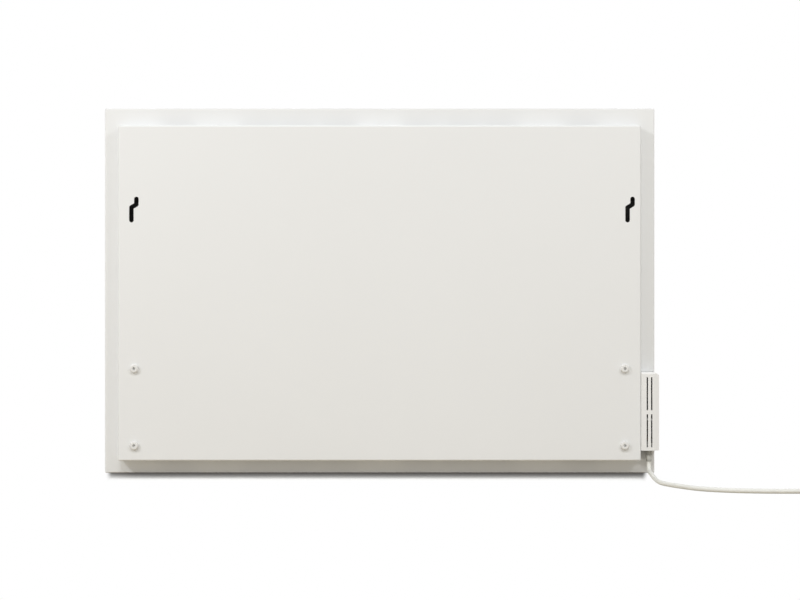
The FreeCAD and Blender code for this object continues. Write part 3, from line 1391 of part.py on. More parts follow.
def arc_from(start, direction, end):
    """Arc between two points that leaves the first along a direction."""
    chord = end - start
    side = chord - direction * chord.dot(direction)
    side.normalize()
    radius = chord.dot(chord) / (2 * chord.dot(side))
    centre = start + side * radius
    outward = start + end - centre * 2
    outward.normalize()
    return Part.Arc(start, centre + outward * radius, end).toShape()


def biarc(start, start_direction, end, end_direction):
    """Two tangent arcs that join two points along given directions."""
    chord = end - start
    both = start_direction + end_direction
    spare = 2 * (1 - start_direction.dot(end_direction))
    along = chord.dot(both)
    reach = (-along + math.sqrt(along * along + spare * chord.dot(chord))) / spare
    joint = (start + end + (start_direction - end_direction) * reach) * 0.5
    second = arc_from(end, end_direction * -1, joint)
    return [arc_from(start, start_direction, joint), second]


def self_gap(path, per_turn, diameter):
    """Least gap between stretches of a wound tube that are half a turn or more apart."""
    count = int(COIL_TURNS * per_turn)
    points = path.discretize(count)
    least = min(
        a.distanceToPoint(b)
        for k, a in enumerate(points)
        for b in points[k + per_turn // 2 :]
    )
    return least - diameter


def cord_coil():
    """Put-away length as one tied coil in two layers, with straight ends."""
    stations = [COIL_TURNS * k / round(COIL_TURNS * 4) for k in range(round(COIL_TURNS * 4) + 1)]
    edges = [Part.LineSegment(COIL_ENTRY, COIL_START).toShape()]
    for a, b in zip(stations, stations[1:]):
        edges += biarc(coil_point(a), coil_direction(a), coil_point(b), coil_direction(b))
    edges.append(Part.LineSegment(COIL_END, COIL_EXIT).toShape())
    path = Part.Wire(edges)
    reach = CORD_RADIUS / math.cos(math.pi / CORD_SIDES)
    ring = facet_ring(COIL_ENTRY, COIL_START - COIL_ENTRY, reach, CORD_SIDES)
    solid = path.makePipeShell([ring], True, False)
    ratio = solid.Volume / (Part.Face(ring).Area * path.Length)
    print(f"cord_coil: length {path.Length:.1f}, volume over section x length {ratio:.4f}")
    print(f"cord_coil: least gap to itself {self_gap(path, COIL_SAMPLES, CORD_DIAMETER):.2f}")
    return Part.Solid(solid), path.Length


def cord_tie():
    """Closed flat strap round all the turns, on the coil's side towards the plug."""
    crossings = [COIL_INNER_RADIUS + COIL_STEP * abs(k + 0.5 - COIL_HALF) for k in range(int(COIL_TURNS))]
    near = COIL_CENTRE.y - (min(crossings) - CORD_RADIUS - TIE_SLACK)
    far = COIL_CENTRE.y - (max(crossings) + CORD_RADIUS + RUNNING_GAP)
    low = COIL_LOWER_Z - CORD_RADIUS - RUNNING_GAP
    high = COIL_UPPER_Z + CORD_RADIUS + RUNNING_GAP

    def sleeve(grow, width):
        half = width / 2
        left = COIL_CENTRE.x - half
        return block(left, left + width, far - grow, near + grow, low - grow, high + grow)

    strap = rounded_along(sleeve(TIE_THICKNESS, TIE_WIDTH), X_AXIS, TIE_THICKNESS)
    return strap.cut(sleeve(0, TIE_WIDTH + 2 * CUT_OVER))


def plug_body():
    """Moulded round plug with a tapered neck, lying on its rim."""
    profile = [
        Vector(0, 0, 0),
        Vector(PLUG_TAIL_RADIUS, 0, 0),
        Vector(PLUG_NECK_RADIUS, 0, PLUG_TAIL),
        Vector(PLUG_RADIUS, 0, PLUG_DISC_START),
        Vector(PLUG_RADIUS, 0, PLUG_FACE - PLUG_RIM),
        Vector(PLUG_RADIUS - PLUG_RIM, 0, PLUG_FACE),
        Vector(0, 0, PLUG_FACE),
    ]
    body = Part.Face(Part.makePolygon(profile + profile[:1])).revolve(Vector(0, 0, 0), Z_AXIS, 360)
    half = PLUG_NOTCH_WIDTH / 2
    low = PLUG_DISC_START - PLUG_NOTCH_RUN
    for side in (-1, 1):
        inner = side * (PLUG_RADIUS - PLUG_NOTCH_DEPTH)
        outer = side * (PLUG_RADIUS + CUT_OVER)
        body = body.cut(block(inner, outer, -half, half, low, PLUG_FACE + CUT_OVER))
    body.Placement = plug_placement()
    return body


def plug_placement():
    """Place of the plug, which is drawn upright, on the floor at the cord's end."""
    return FreeCAD.Placement(PLUG_START, FreeCAD.Rotation(Z_AXIS, PLUG_AXIS))


def plug_pin(side):
    start = Vector(side * PIN_SPACING / 2, 0, PLUG_FACE)
    pin = rod(PIN_RADIUS, start, start + Z_AXIS * PIN_LENGTH)
    tip = edges_where(pin, lambda p: abs(p.z - PLUG_FACE - PIN_LENGTH) < 1e-6)
    pin = pin.makeChamfer(PIN_TIP, tip[:1])
    pin.Placement = plug_placement()
    return pin


# Every piece under its name


def build():
    PIECES["front_panel"] = front_panel()
    PIECES["panel_brackets"] = panel_brackets()
    PIECES["rear_casing"] = rear_casing()
    PIECES["casing_screws"] = casing_screws()
    centres = bumper_points()
    for place, centre in centres.items():
        PIECES[f"wall_bumper_{place}"] = bumper(centre)
    PIECES["bumper_screws"] = Part.makeCompound([bumper_screw(c) for c in centres.values()])
    PIECES["clinch_nuts"] = Part.makeCompound([clinch_nut(c) for c in centres.values()])
    PIECES["heater_core"] = heater_core()
    PIECES["heater_rod"] = rod(ROD_RADIUS, along_rod(-1, ROD_END), along_rod(1, ROD_END))
    for side, sign in (("left", 1), ("right", -1)):
        PIECES[f"element_hanger_{side}"] = element_hanger(sign)
    for name, maker in (
        ("hanger_bushes", hanger_bush),
        ("rod_insulators", rod_insulator),
        ("rod_terminals", rod_terminal),
    ):
        PIECES[name] = Part.makeCompound([maker(sign) for sign in (-1, 1)])
    PIECES["heat_shield"] = heat_shield()
    PIECES["thermal_limiter"] = thermal_limiter()
    PIECES["limiter_rivets"] = Part.makeCompound([limiter_rivet(p) for p in rivet_points()])
    PIECES["wire_clips"] = Part.makeCompound([wire_clip(k * CLIP_SPACING) for k in (-1, 0, 1)])
    PIECES["wire_grommet"] = wire_grommet()
    PIECES["earth_stud"] = earth_stud()
    PIECES["earth_nut"] = earth_nut()
    PIECES["earth_ring"] = earth_ring()
    PIECES["earth_wire"] = earth_wire()
    PIECES["load_wires"] = load_wires()
    PIECES["link_wire"] = link_wire()
    PIECES["control_housing"] = control_housing()
    PIECES["vent_cover"] = vent_cover()
    PIECES["housing_screws"] = Part.makeCompound([housing_screw(p) for p in housing_screw_points()])
    PIECES["control_board"] = control_board()
    PIECES.update(board_parts())
    PIECES["key_switches"] = key_switches()
    PIECES["room_sensor"] = room_sensor()
    for name, z in KEY_ROWS.items():
        PIECES[f"key_{name}"] = key_cap(z)
    PIECES["display_window"] = display_window()
    PIECES["switch_frame"] = switch_frame()
    PIECES["switch_rocker"] = switch_rocker()
    PIECES["supply_wires"] = supply_wires()
    PIECES["strain_relief"] = strain_relief()
    PIECES["inner_lead"] = inner_lead()
    PIECES["cord_clamp"] = cord_clamp()
    PIECES["clamp_screws"] = Part.makeCompound([clamp_screw(p) for p in clamp_screw_points()])
    PIECES["power_cord"], run, radii, ratio = tube(cord_route(), CORD_RADIUS)
    report_tube("power_cord", run, radii, ratio)
    PIECES["cord_coil"], wound = cord_coil()
    PIECES["cord_tail"], tail, radii, ratio = tube(tail_route(), CORD_RADIUS)
    report_tube("cord_tail", tail, radii, ratio)
    print(f"cord in all: {run + wound + tail:.0f}")
    PIECES["cord_tie"] = cord_tie()
    PIECES["plug_body"] = plug_body()
    PIECES["plug_pins"] = Part.makeCompound([plug_pin(side) for side in (-1, 1)])


build()
os.makedirs("parts", exist_ok=True)
for name, shape in PIECES.items():
    shape.exportStep(f"parts/{name}.step")
    print(f"{name}: {len(shape.Solids)} solids, volume {shape.Volume:.1f}, valid {shape.isValid()}")
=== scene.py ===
import json
import math

import bmesh
import bpy
from mathutils import Matrix, Vector


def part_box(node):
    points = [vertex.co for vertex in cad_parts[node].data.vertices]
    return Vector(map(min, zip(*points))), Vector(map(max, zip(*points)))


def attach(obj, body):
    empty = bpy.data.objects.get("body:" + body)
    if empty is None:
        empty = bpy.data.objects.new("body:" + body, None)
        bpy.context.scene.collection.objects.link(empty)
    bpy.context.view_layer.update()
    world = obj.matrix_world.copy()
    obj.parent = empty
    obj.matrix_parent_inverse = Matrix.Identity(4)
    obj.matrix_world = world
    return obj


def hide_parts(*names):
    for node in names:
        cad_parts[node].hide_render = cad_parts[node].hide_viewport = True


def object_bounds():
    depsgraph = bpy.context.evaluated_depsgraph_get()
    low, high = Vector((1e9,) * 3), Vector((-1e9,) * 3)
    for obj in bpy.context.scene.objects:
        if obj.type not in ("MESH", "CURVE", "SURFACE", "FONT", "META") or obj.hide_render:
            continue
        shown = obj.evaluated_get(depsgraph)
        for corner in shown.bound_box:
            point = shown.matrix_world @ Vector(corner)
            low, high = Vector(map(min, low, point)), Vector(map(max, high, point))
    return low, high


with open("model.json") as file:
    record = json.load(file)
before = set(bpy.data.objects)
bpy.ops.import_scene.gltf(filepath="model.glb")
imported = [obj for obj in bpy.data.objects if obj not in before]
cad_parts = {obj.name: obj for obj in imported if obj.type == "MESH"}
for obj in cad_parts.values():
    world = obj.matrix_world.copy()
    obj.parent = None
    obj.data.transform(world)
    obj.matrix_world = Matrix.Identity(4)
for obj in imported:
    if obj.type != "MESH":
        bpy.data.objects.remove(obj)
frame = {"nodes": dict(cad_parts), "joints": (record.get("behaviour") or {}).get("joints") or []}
cad_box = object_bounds()

# Front panel
# One steel sheet folded to a shallow pan with return flanges, its corners welded and ground smooth.
# It is sprayed white from outside, where the baked powder keeps a fine orange-peel skin.
# The faces that the casing closes in keep a dark primer, also standing in for the shade inside the
# casing.
# In the corner under the control housing, painted shade mixes the primer grey into the white, most near
# the housing.
PAINT_WHITE = (0.803, 0.812, 0.812, 1)
PAINT_SHADE = (0.785, 0.792, 0.790, 1)
PRIMER_AND_SHADE_GREY = (0.085, 0.085, 0.080, 1)
SKIN = 0.0004
BEND_REACH = 0.003
PAINT_CLOUDS = 4.0
PEEL_SCALE = 700.0
PEEL_DEPTH = 0.000012
PAINT_SHEEN = (0.40, 0.50)
PAINTED_SHADE_WIDTH = 0.018
PAINTED_SHADE_DROP = 0.0155
PAINTED_SHADE_LEAST = 0.20
PAINTED_SHADE_MOST = 0.54
casing_low, casing_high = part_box("rear_casing")
housing_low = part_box("control_housing")[0]
panel_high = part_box("front_panel")[1]


class Field:
    """Value that varies over a surface: wraps a node's output, and arithmetic on it adds Math nodes."""

    def __init__(self, tree, socket):
        self.tree = tree
        self.socket = socket

    def node(self, kind, settings=None, inputs=None, output=0):
        """Output of a new node: its settings come first, then the values or links of its sockets."""
        made = self.tree.nodes.new(kind)
        for name, value in (settings or {}).items():
            if name == "stops":
                for place, colour in value[2:]:
                    made.color_ramp.elements.new(place)
                for stop, (place, colour) in zip(made.color_ramp.elements, value):
                    stop.position = place
                    stop.color = colour
            else:
                setattr(made, name, value)
        usable = [socket for socket in made.inputs if socket.enabled]
        for key, value in (inputs or {}).items():
            socket = usable[key] if isinstance(key, int) else next(s for s in usable if s.name == key)
            for part in value if isinstance(value, list) else [value]:
                if isinstance(part, Field):
                    self.tree.links.new(part.socket, socket)
                else:
                    socket.default_value = part
        return Field(self.tree, [socket for socket in made.outputs if socket.enabled][output])

    def math(self, operation, first, second):
        return self.node("ShaderNodeMath", {"operation": operation}, {0: first, 1: second})

    def __add__(self, other):
        return self.math("ADD", self, other)

    __radd__ = __add__

    def __sub__(self, other):
        return self.math("SUBTRACT", self, other)

    def __rsub__(self, other):
        return self.math("SUBTRACT", other, self)

    def __mul__(self, other):
        return self.math("MULTIPLY", self, other)

    __rmul__ = __mul__

    def __gt__(self, other):
        return self.math("GREATER_THAN", self, other)

    def __lt__(self, other):
        return self.math("LESS_THAN", self, other)

    def __abs__(self):
        return self.node("ShaderNodeMath", {"operation": "ABSOLUTE"}, {0: self})

    def axes(self):
        """The three coordinates of a vector."""
        return [self.node("ShaderNodeSeparateXYZ", {}, {"Vector": self}, k) for k in range(3)]


def noise(surface, scale, detail=2.0):
    """Soft cloud between 0 and 1, with a number of clouds to the metre."""
    return surface.node("ShaderNodeTexNoise", {}, {"Vector": surface, "Scale": scale, "Detail": detail})


def stretched(surface, along):
    """Coordinates drawn out by a factor for each axis, for grain that runs one way."""
    return surface.node("ShaderNodeMapping", {}, {"Vector": surface, "Scale": along})


def tint(amount, low, high):
    """Colour between two."""
    return amount.node("ShaderNodeMix", {"data_type": "RGBA"}, {"Factor": amount, "A": low, "B": high})


def between(amount, ends):
    """Number between two ends."""
    return ends[0] + (ends[1] - ends[0]) * amount


def relief(height, depth):
    """Surface normal over bumps of a depth in metres."""
    return height.node("ShaderNodeBump", {}, {"Strength": 1.0, "Distance": depth, "Height": height})


def finish(name, fixed, varying):
    """Material with one shader: fixed socket values, and a function of the surface for the others."""
    material = bpy.data.materials.new(name)
    material.use_nodes = True
    tree = material.node_tree
    shader = tree.nodes["Principled BSDF"]
    for socket, value in fixed.items():
        shader.inputs[socket].default_value = value
    place = tree.nodes.new("ShaderNodeTexCoord")
    for socket, field in varying(Field(tree, place.outputs["Object"])).items():
        tree.links.new(field.socket, shader.inputs[socket])
    return material


def dress(material, *names):
    """Puts a finish on nodes of the model."""
    for name in names:
        for slot in frame["nodes"][name].material_slots:
            slot.material = material


def powder_film(surface):
    clouds = noise(surface, PAINT_CLOUDS)
    peel = noise(surface, PEEL_SCALE, 1.0)
    x, y, z = surface.axes()
    # Closed-in faces take the primer grey, which also stands in for the shade seen through the slots.
    deep = (y < casing_high.y - SKIN) * (y > casing_low.y - SKIN)
    level = (z < casing_high.z - BEND_REACH) * (z > casing_low.z + BEND_REACH)
    closed_in = deep * level * (abs(x) < casing_high.x - BEND_REACH)
    # Painted shade in the flange's corner under the control housing: primer grey mixed in, most near
    # the housing.
    drop = {
        "Value": z,
        "From Min": housing_low.z - PAINTED_SHADE_DROP,
        "From Max": housing_low.z,
        "To Min": PAINTED_SHADE_LEAST,
        "To Max": PAINTED_SHADE_MOST,
    }
    corner = (z < housing_low.z) * (z > housing_low.z - PAINTED_SHADE_DROP) * (x < casing_low.x)
    corner = corner * (x > casing_low.x - PAINTED_SHADE_WIDTH) * (y > panel_high.y - SKIN)
    corner_shade = corner * z.node("ShaderNodeMapRange", {}, drop)
    primer_and_painted_shade = x.math("MAXIMUM", closed_in, corner_shade)
    return {
        "Base Color": tint(primer_and_painted_shade, tint(clouds, PAINT_SHADE, PAINT_WHITE), PRIMER_AND_SHADE_GREY),
        "Roughness": between(peel, PAINT_SHEEN),
        "Normal": relief(peel, PEEL_DEPTH),
    }


powder_coat = finish("powder_coat", {"Specular IOR Level": 0.35}, powder_film)
dress(powder_coat, "front_panel")

# Brackets
# Ten angles of zinc-plated steel strip, spot-welded round the inside of the panel.
# The casing's screws go into them, and the plating shows a faint spangle.
ZINC_BRIGHT = (0.66, 0.67, 0.68, 1)
ZINC_DULL = (0.52, 0.54, 0.56, 1)
ZINC_SHEEN = (0.28, 0.40)
SPANGLE_SCALE = 260.0
SCUFF_SCALE = 1500.0
SCUFF_DULLING = 0.08
SCUFF_DEPTH = 0.000004


def zinc_plating(surface):
    spangle = surface.node("ShaderNodeTexVoronoi", {}, {"Vector": surface, "Scale": SPANGLE_SCALE}, 1)
    grey = surface.node("ShaderNodeRGBToBW", {}, {"Color": spangle})
    scuffs = noise(surface, SCUFF_SCALE, 3.0)
    return {
        "Base Color": tint(grey, ZINC_DULL, ZINC_BRIGHT),
        "Roughness": between(grey, ZINC_SHEEN) + SCUFF_DULLING * scuffs,
        "Normal": relief(scuffs, SCUFF_DEPTH),
    }


zinc = finish("zinc_plate", {"Metallic": 1.0}, zinc_plating)
dress(zinc, "panel_brackets")

# Rear casing
# A box folded from thinner sheet, set back from the panel's edges and closed towards the wall.
# It has the two hook slots and the air slots, and takes the same powder coat as the panel.
dress(powder_coat, "rear_casing")

# Casing screws
# Pan-head screws with a cross recess, turned through the casing's walls into the brackets.
# They are painted over with the casing, and no two stopped at the same turn.
SCREW_COLUMN_PITCH = 0.264
SCREW_FROM_PANEL = 0.015
SIDE_SCREW_BELOW_TOP = 0.0615
SIDE_SCREW_PITCH = 0.170
CASING_SCREW = {
    "Head radius": 0.0037,
    "Head height": 0.0022,
    "Shank radius": 0.0019,
    "Shank length": 0.008,
    "Recess width": 0.0009,
}
SCREW_SEED = 5
HEAD_SIDES = 32
HEAD_RINGS = 5
HEAD_DRAW_IN = 0.38
SHANK_SIDES = 20


def screw_tree():
    """Tree that sets a cross-head screw on every point, along the point's outward vector."""
    tree = bpy.data.node_groups.new("cross_head_screw", "GeometryNodeTree")
    ports = tree.interface
    ports.new_socket("Points", in_out="INPUT", socket_type="NodeSocketGeometry")
    for name in CASING_SCREW:
        ports.new_socket(name, in_out="INPUT", socket_type="NodeSocketFloat")
    ports.new_socket("Metal", in_out="INPUT", socket_type="NodeSocketMaterial")
    ports.new_socket("Screws", in_out="OUTPUT", socket_type="NodeSocketGeometry")
    given = {s.name: Field(tree, s) for s in tree.nodes.new("NodeGroupInput").outputs if s.name}
    points = given["Points"]
    radius = given["Head radius"]
    height = given["Head height"]
    length = given["Shank length"]

    def vector(x, y, z):
        return points.node("ShaderNodeCombineXYZ", {}, {"X": x, "Y": y, "Z": z})

    def moved(mesh, z, turn=0.0):
        placed = {"Geometry": mesh, "Translation": vector(0.0, 0.0, z), "Rotation": (0.0, 0.0, turn)}
        return points.node("GeometryNodeTransform", {}, placed)

    drum = {"Vertices": HEAD_SIDES, "Side Segments": HEAD_RINGS, "Fill Segments": 2}
    drum.update({"Radius": radius, "Depth": height})
    head = moved(points.node("GeometryNodeMeshCylinder", {}, drum), 0.5 * height)
    place = points.node("GeometryNodeInputPosition")
    level = points.node("ShaderNodeSeparateXYZ", {}, {"Vector": place}, 2)
    rise = points.math("DIVIDE", level, height)
    draw_in = 1.0 - HEAD_DRAW_IN * rise * rise * rise
    narrowed = {0: place, 1: vector(draw_in, draw_in, 1.0)}
    rounded = points.node("ShaderNodeVectorMath", {"operation": "MULTIPLY"}, narrowed)
    head = points.node("GeometryNodeSetPosition", {}, {"Geometry": head, "Position": rounded})
    bar_size = vector(given["Recess width"], radius, height)
    bar = points.node("GeometryNodeMeshCube", {}, {"Size": bar_size})
    cross = [moved(bar, height, turn) for turn in (0.0, math.pi / 2)]
    sunk = {"Mesh 1": head, "Mesh 2": cross}
    head = points.node("GeometryNodeMeshBoolean", {"operation": "DIFFERENCE"}, sunk)
    rod = {"Vertices": SHANK_SIDES, "Radius": given["Shank radius"], "Depth": length}
    shank = moved(points.node("GeometryNodeMeshCylinder", {}, rod), -0.5 * length)
    screw = points.node("GeometryNodeJoinGeometry", {}, {"Geometry": [head, shank]})
    facing = {"data_type": "FLOAT_VECTOR"}
    outward = points.node("GeometryNodeInputNamedAttribute", facing, {"Name": "outward"})
    upright = points.node("FunctionNodeAlignRotationToVector", {"axis": "Z"}, {"Vector": outward})
    any_turn = {"Max": math.tau, "Seed": SCREW_SEED}
    angle = points.node("FunctionNodeRandomValue", {"data_type": "FLOAT"}, any_turn)
    stop = points.node("FunctionNodeAxisAngleToRotation", {}, {"Axis": (0.0, 0.0, 1.0), "Angle": angle})
    spin = {"Rotation": upright, "Rotate By": stop}
    turned = points.node("FunctionNodeRotateRotation", {"rotation_space": "LOCAL"}, spin)
    row = {"Points": points, "Instance": screw, "Rotation": turned}
    row = points.node("GeometryNodeInstanceOnPoints", {}, row)
    row = points.node("GeometryNodeRealizeInstances", {}, {"Geometry": row})
    row = points.node("GeometryNodeSetMaterial", {}, {"Geometry": row, "Material": given["Metal"]})
    tree.links.new(row.socket, tree.nodes.new("NodeGroupOutput").inputs["Screws"])
    return tree


cross_head_screw = screw_tree()


def piece(name, mesh):
    """Object of a mesh that already has its place in the model's frame."""
    made = bpy.data.objects.new(name, mesh)
    bpy.context.scene.collection.objects.link(made)
    return made


def screws(name, places, sizes):
    """Screws as one plain mesh: each place is a point under the head and the way that it faces."""
    carrier = bpy.data.meshes.new(name)
    carrier.from_pydata([point for point, outward in places], [], [])
    ways = carrier.attributes.new("outward", "FLOAT_VECTOR", "POINT")
    for way, (point, outward) in zip(ways.data, places):
        way.vector = outward
    made = piece(name, carrier)
    row = made.modifiers.new("screws", "NODES")
    row.node_group = cross_head_screw
    for port in cross_head_screw.interface.items_tree:
        if port.name in sizes:
            row[port.identifier] = sizes[port.name]
        elif port.name == "Metal":
            row[port.identifier] = powder_coat
    graph = bpy.context.evaluated_depsgraph_get()
    made.data = bpy.data.meshes.new_from_object(made.evaluated_get(graph))
    made.modifiers.clear()
    return made


screw_y = casing_low.y + SCREW_FROM_PANEL
wall_places = []
for column in (-1, 0, 1):
    x = column * SCREW_COLUMN_PITCH
    wall_places.append(((x, screw_y, casing_high.z), (0, 0, 1)))
    wall_places.append(((x, screw_y, casing_low.z), (0, 0, -1)))
for row in (0, 1):
    z = casing_high.z - SIDE_SCREW_BELOW_TOP - row * SIDE_SCREW_PITCH
    wall_places.append(((casing_high.x, screw_y, z), (1, 0, 0)))
    wall_places.append(((casing_low.x, screw_y, z), (-1, 0, 0)))
wall_screws = screws("wall_screws", wall_places, CASING_SCREW)
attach(wall_screws, "heater")
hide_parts("casing_screws")

# Wall bumpers
# Four round buttons moulded in white plastic that hold the casing off the wall.
# Each is screwed into a clinch nut pressed into the sheet, with the screw sunk in its middle.
BUMPER_WHITE = (0.765, 0.765, 0.755, 1)
BUMPER_SHADE = (0.745, 0.745, 0.730, 1)
MOULD_GRAIN = 2600.0
MOULD_DEPTH = 0.000008
MOULD_DULLING = 0.12
BUMPER_SCREW = {
    "Head radius": 0.0020,
    "Head height": 0.0014,
    "Shank radius": 0.0012,
    "Shank length": 0.0056,
    "Recess width": 0.0006,
}
BUMPER_RECESS = 0.0034
BUMPERS = [f"wall_bumper_{level}_{side}" for level in ("lower", "upper") for side in ("left", "right")]


def moulded(shade, plain, clouding, rough):
    """Look of a moulding with a fine grain, clouded between two close tones."""

    def look(surface):
        grain = noise(surface, MOULD_GRAIN, 1.0)
        return {
            "Base Color": tint(noise(surface, clouding), shade, plain),
            "Roughness": rough + MOULD_DULLING * grain,
            "Normal": relief(grain, MOULD_DEPTH),
        }

    return look


bumper_look = moulded(BUMPER_SHADE, BUMPER_WHITE, clouding=40.0, rough=0.48)
bumper_plastic = finish("bumper_plastic", {"Specular IOR Level": 0.3}, bumper_look)
dress(bumper_plastic, *BUMPERS)
dress(zinc, "clinch_nuts")
sunk_places = []
for name in BUMPERS:
    low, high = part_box(name)
    middle = (low + high) / 2
    sunk_places.append(((middle.x, high.y - BUMPER_RECESS, middle.z), (0, 1, 0)))
sunk_screws = screws("sunk_screws", sunk_places, BUMPER_SCREW)
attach(sunk_screws, "heater")
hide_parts("bumper_screws")

# Heating core and rod
# An extruded aluminium body with fins round a sheathed steel rod, which warms the rising air.
# Drawing lines run along both, and the rod has the straw tint of steel that has been hot.
ALUMINIUM_BRIGHT = (0.80, 0.81, 0.82, 1)
ALUMINIUM_DULL = (0.66, 0.67, 0.68, 1)
STEEL_BRIGHT = (0.56, 0.55, 0.53, 1)
STEEL_STRAW = (0.46, 0.36, 0.22, 1)
DRAWN_LINES = (4.0, 900.0, 900.0)
DRAWN_DEPTH = 0.000005
ALUMINIUM_SHEEN = (0.30, 0.46)
HEAT_PATCHES = (14.0, 60.0, 60.0)
ROD_LINES = (20.0, 1800.0, 1800.0)
ROD_DEPTH = 0.000003
STEEL_SHEEN = (0.26, 0.40)


def extruded(surface):
    lines = noise(stretched(surface, DRAWN_LINES), 1.0, 3.0)
    return {
        "Base Color": tint(lines, ALUMINIUM_DULL, ALUMINIUM_BRIGHT),
        "Roughness": between(lines, ALUMINIUM_SHEEN),
        "Normal": relief(lines, DRAWN_DEPTH),
    }


def hot_steel(surface):
    heat = noise(stretched(surface, HEAT_PATCHES), 1.0, 2.0)
    lines = noise(stretched(surface, ROD_LINES), 1.0)
    return {
        "Base Color": tint(heat, STEEL_STRAW, STEEL_BRIGHT),
        "Roughness": between(lines, STEEL_SHEEN),
        "Normal": relief(lines, ROD_DEPTH),
    }


aluminium = finish("mill_aluminium", {"Metallic": 1.0}, extruded)
stainless = finish("rod_steel", {"Metallic": 1.0}, hot_steel)
dress(aluminium, "heater_core")
dress(stainless, "heater_rod")

# Hangers, bushes and rod ends
# Bent zinc-plated hangers carry the rod in ceramic bushes, so that it can grow when hot.
# Ceramic insulators close the rod's ends round its brass terminals.
CERAMIC_CREAM = (0.86, 0.84, 0.78, 1)
CERAMIC_SPECK = (0.66, 0.60, 0.50, 1)
BRASS_BRIGHT = (0.80, 0.64, 0.32, 1)
BRASS_BROWN = (0.50, 0.36, 0.18, 1)
SPECK_SCALE = 1400.0
SPECK_START = 0.60
SPECK_FULL = 0.72
SPECK_DEPTH = 0.00001
CERAMIC_SHEEN = (0.55, 0.75)
TARNISH_SCALE = 220.0
TARNISH_DEPTH = 0.000004
BRASS_SHEEN = (0.42, 0.24)


def steatite(surface):
    specks = noise(surface, SPECK_SCALE, 4.0)
    sparse = specks.node(
        "ShaderNodeValToRGB",
        {"stops": [(SPECK_START, CERAMIC_CREAM), (SPECK_FULL, CERAMIC_SPECK)]},
        {"Fac": specks},
    )
    return {
        "Base Color": sparse,
        "Roughness": between(specks, CERAMIC_SHEEN),
        "Normal": relief(specks, SPECK_DEPTH),
    }


def tarnished_brass(surface):
    film = noise(surface, TARNISH_SCALE, 3.0)
    return {
        "Base Color": tint(film, BRASS_BROWN, BRASS_BRIGHT),
        "Roughness": between(film, BRASS_SHEEN),
        "Normal": relief(film, TARNISH_DEPTH),
    }


ceramic = finish("steatite", {}, steatite)
brass = finish("brass", {"Metallic": 1.0}, tarnished_brass)
dress(zinc, "element_hanger_left", "element_hanger_right")
dress(ceramic, "hanger_bushes", "rod_insulators")
dress(brass, "rod_terminals")

# Heat shield and thermal limiter
# A thin bright aluminium sheet on the hangers' feet throws the heat back from the casing.
# The disc limiter is riveted to it and opens the circuit if the air stops.
dress(aluminium, "heat_shield", "thermal_limiter", "limiter_rivets")

# Wires, clips, grommet and earth
# Silicone-covered wires run through a rubber grommet to the rod, the limiter and the earth stud.
# Moulded clips hold the long link wire, and the earth wire is green with a yellow stripe.
JACKET_BROWN = (0.22, 0.085, 0.045, 1)
JACKET_FADED = (0.30, 0.125, 0.070, 1)
EARTH_GREEN = (0.05, 0.26, 0.06, 1)
EARTH_YELLOW = (0.74, 0.62, 0.05, 1)
EARTH_STRIPE = 0.55
STRIPE_SCALE = 60.0
STRIPE_WOBBLE = 0.4
RUBBER_BLACK = (0.018, 0.018, 0.018, 1)
RUBBER_DUSTY = (0.060, 0.058, 0.055, 1)
BLOOM_SCALE = 160.0
BLOOM_DEPTH = 0.00001
JACKET_SHEEN = (0.46, 0.62)
DUST_SCALE = 420.0
DUST_DEPTH = 0.00002
RUBBER_SHEEN = (0.62, 0.82)


def silicone(surface):
    bloom = noise(surface, BLOOM_SCALE, 3.0)
    return {
        "Base Color": tint(bloom, JACKET_BROWN, JACKET_FADED),
        "Roughness": between(bloom, JACKET_SHEEN),
        "Normal": relief(bloom, BLOOM_DEPTH),
    }


def earth_stripes(surface):
    bands = {"Vector": surface, "Scale": STRIPE_SCALE, "Distortion": STRIPE_WOBBLE}
    wave = surface.node("ShaderNodeTexWave", {"bands_direction": "DIAGONAL"}, bands, 1)
    bloom = noise(surface, BLOOM_SCALE, 3.0)
    striped = tint(wave > EARTH_STRIPE, EARTH_GREEN, EARTH_YELLOW)
    return {"Base Color": striped, "Roughness": between(bloom, JACKET_SHEEN)}


def dusty_rubber(surface):
    dust = noise(surface, DUST_SCALE, 4.0)
    return {
        "Base Color": tint(dust, RUBBER_BLACK, RUBBER_DUSTY),
        "Roughness": between(dust, RUBBER_SHEEN),
        "Normal": relief(dust, DUST_DEPTH),
    }


wire_jacket = finish("wire_jacket", {"Specular IOR Level": 0.3}, silicone)
earth_jacket = finish("earth_jacket", {"Specular IOR Level": 0.3}, earth_stripes)
rubber = finish("grommet_rubber", {"Specular IOR Level": 0.25}, dusty_rubber)
dress(wire_jacket, "load_wires", "link_wire", "wire_clips")
dress(earth_jacket, "earth_wire")
dress(rubber, "wire_grommet")
dress(brass, "earth_stud", "earth_nut", "earth_ring")

# Control housing and vent cover
# A white moulding screwed to the casing's side, stepped round the panel's flange.
# Its cover snaps on at the back and has four narrow slots that let room air to the sensor.
PLASTIC_WHITE = (0.825, 0.830, 0.825, 1)
PLASTIC_SHADE = (0.806, 0.808, 0.800, 1)
white_look = moulded(PLASTIC_SHADE, PLASTIC_WHITE, clouding=14.0, rough=0.44)
white_plastic = finish("white_plastic", {"Specular IOR Level": 0.4}, white_look)
dress(white_plastic, "control_housing", "vent_cover")
dress(zinc, "housing_screws")

# Circuit board and what it carries
# A dark lacquered board on two posts, with a relay, a capacitor, two terminal blocks and key switches.
# Copper tracks show through the lacquer, and the components are glossy black mouldings.
LACQUER_DARK = (0.030, 0.034, 0.032, 1)
LACQUER_TRACK = (0.075, 0.080, 0.076, 1)
TRACK_EDGE = 0.56
TRACK_SCALE = 46.0
TRACK_WOBBLE = 3.0
TRACK_DETAIL = 24.0
TRACK_DEPTH = 0.00003
LACQUER_GRAIN = 900.0
LACQUER_SHEEN = (0.34, 0.44)
MOULDED_BLACK = (0.020, 0.020, 0.023, 1)
MOULDED_GREY = (0.040, 0.040, 0.044, 1)


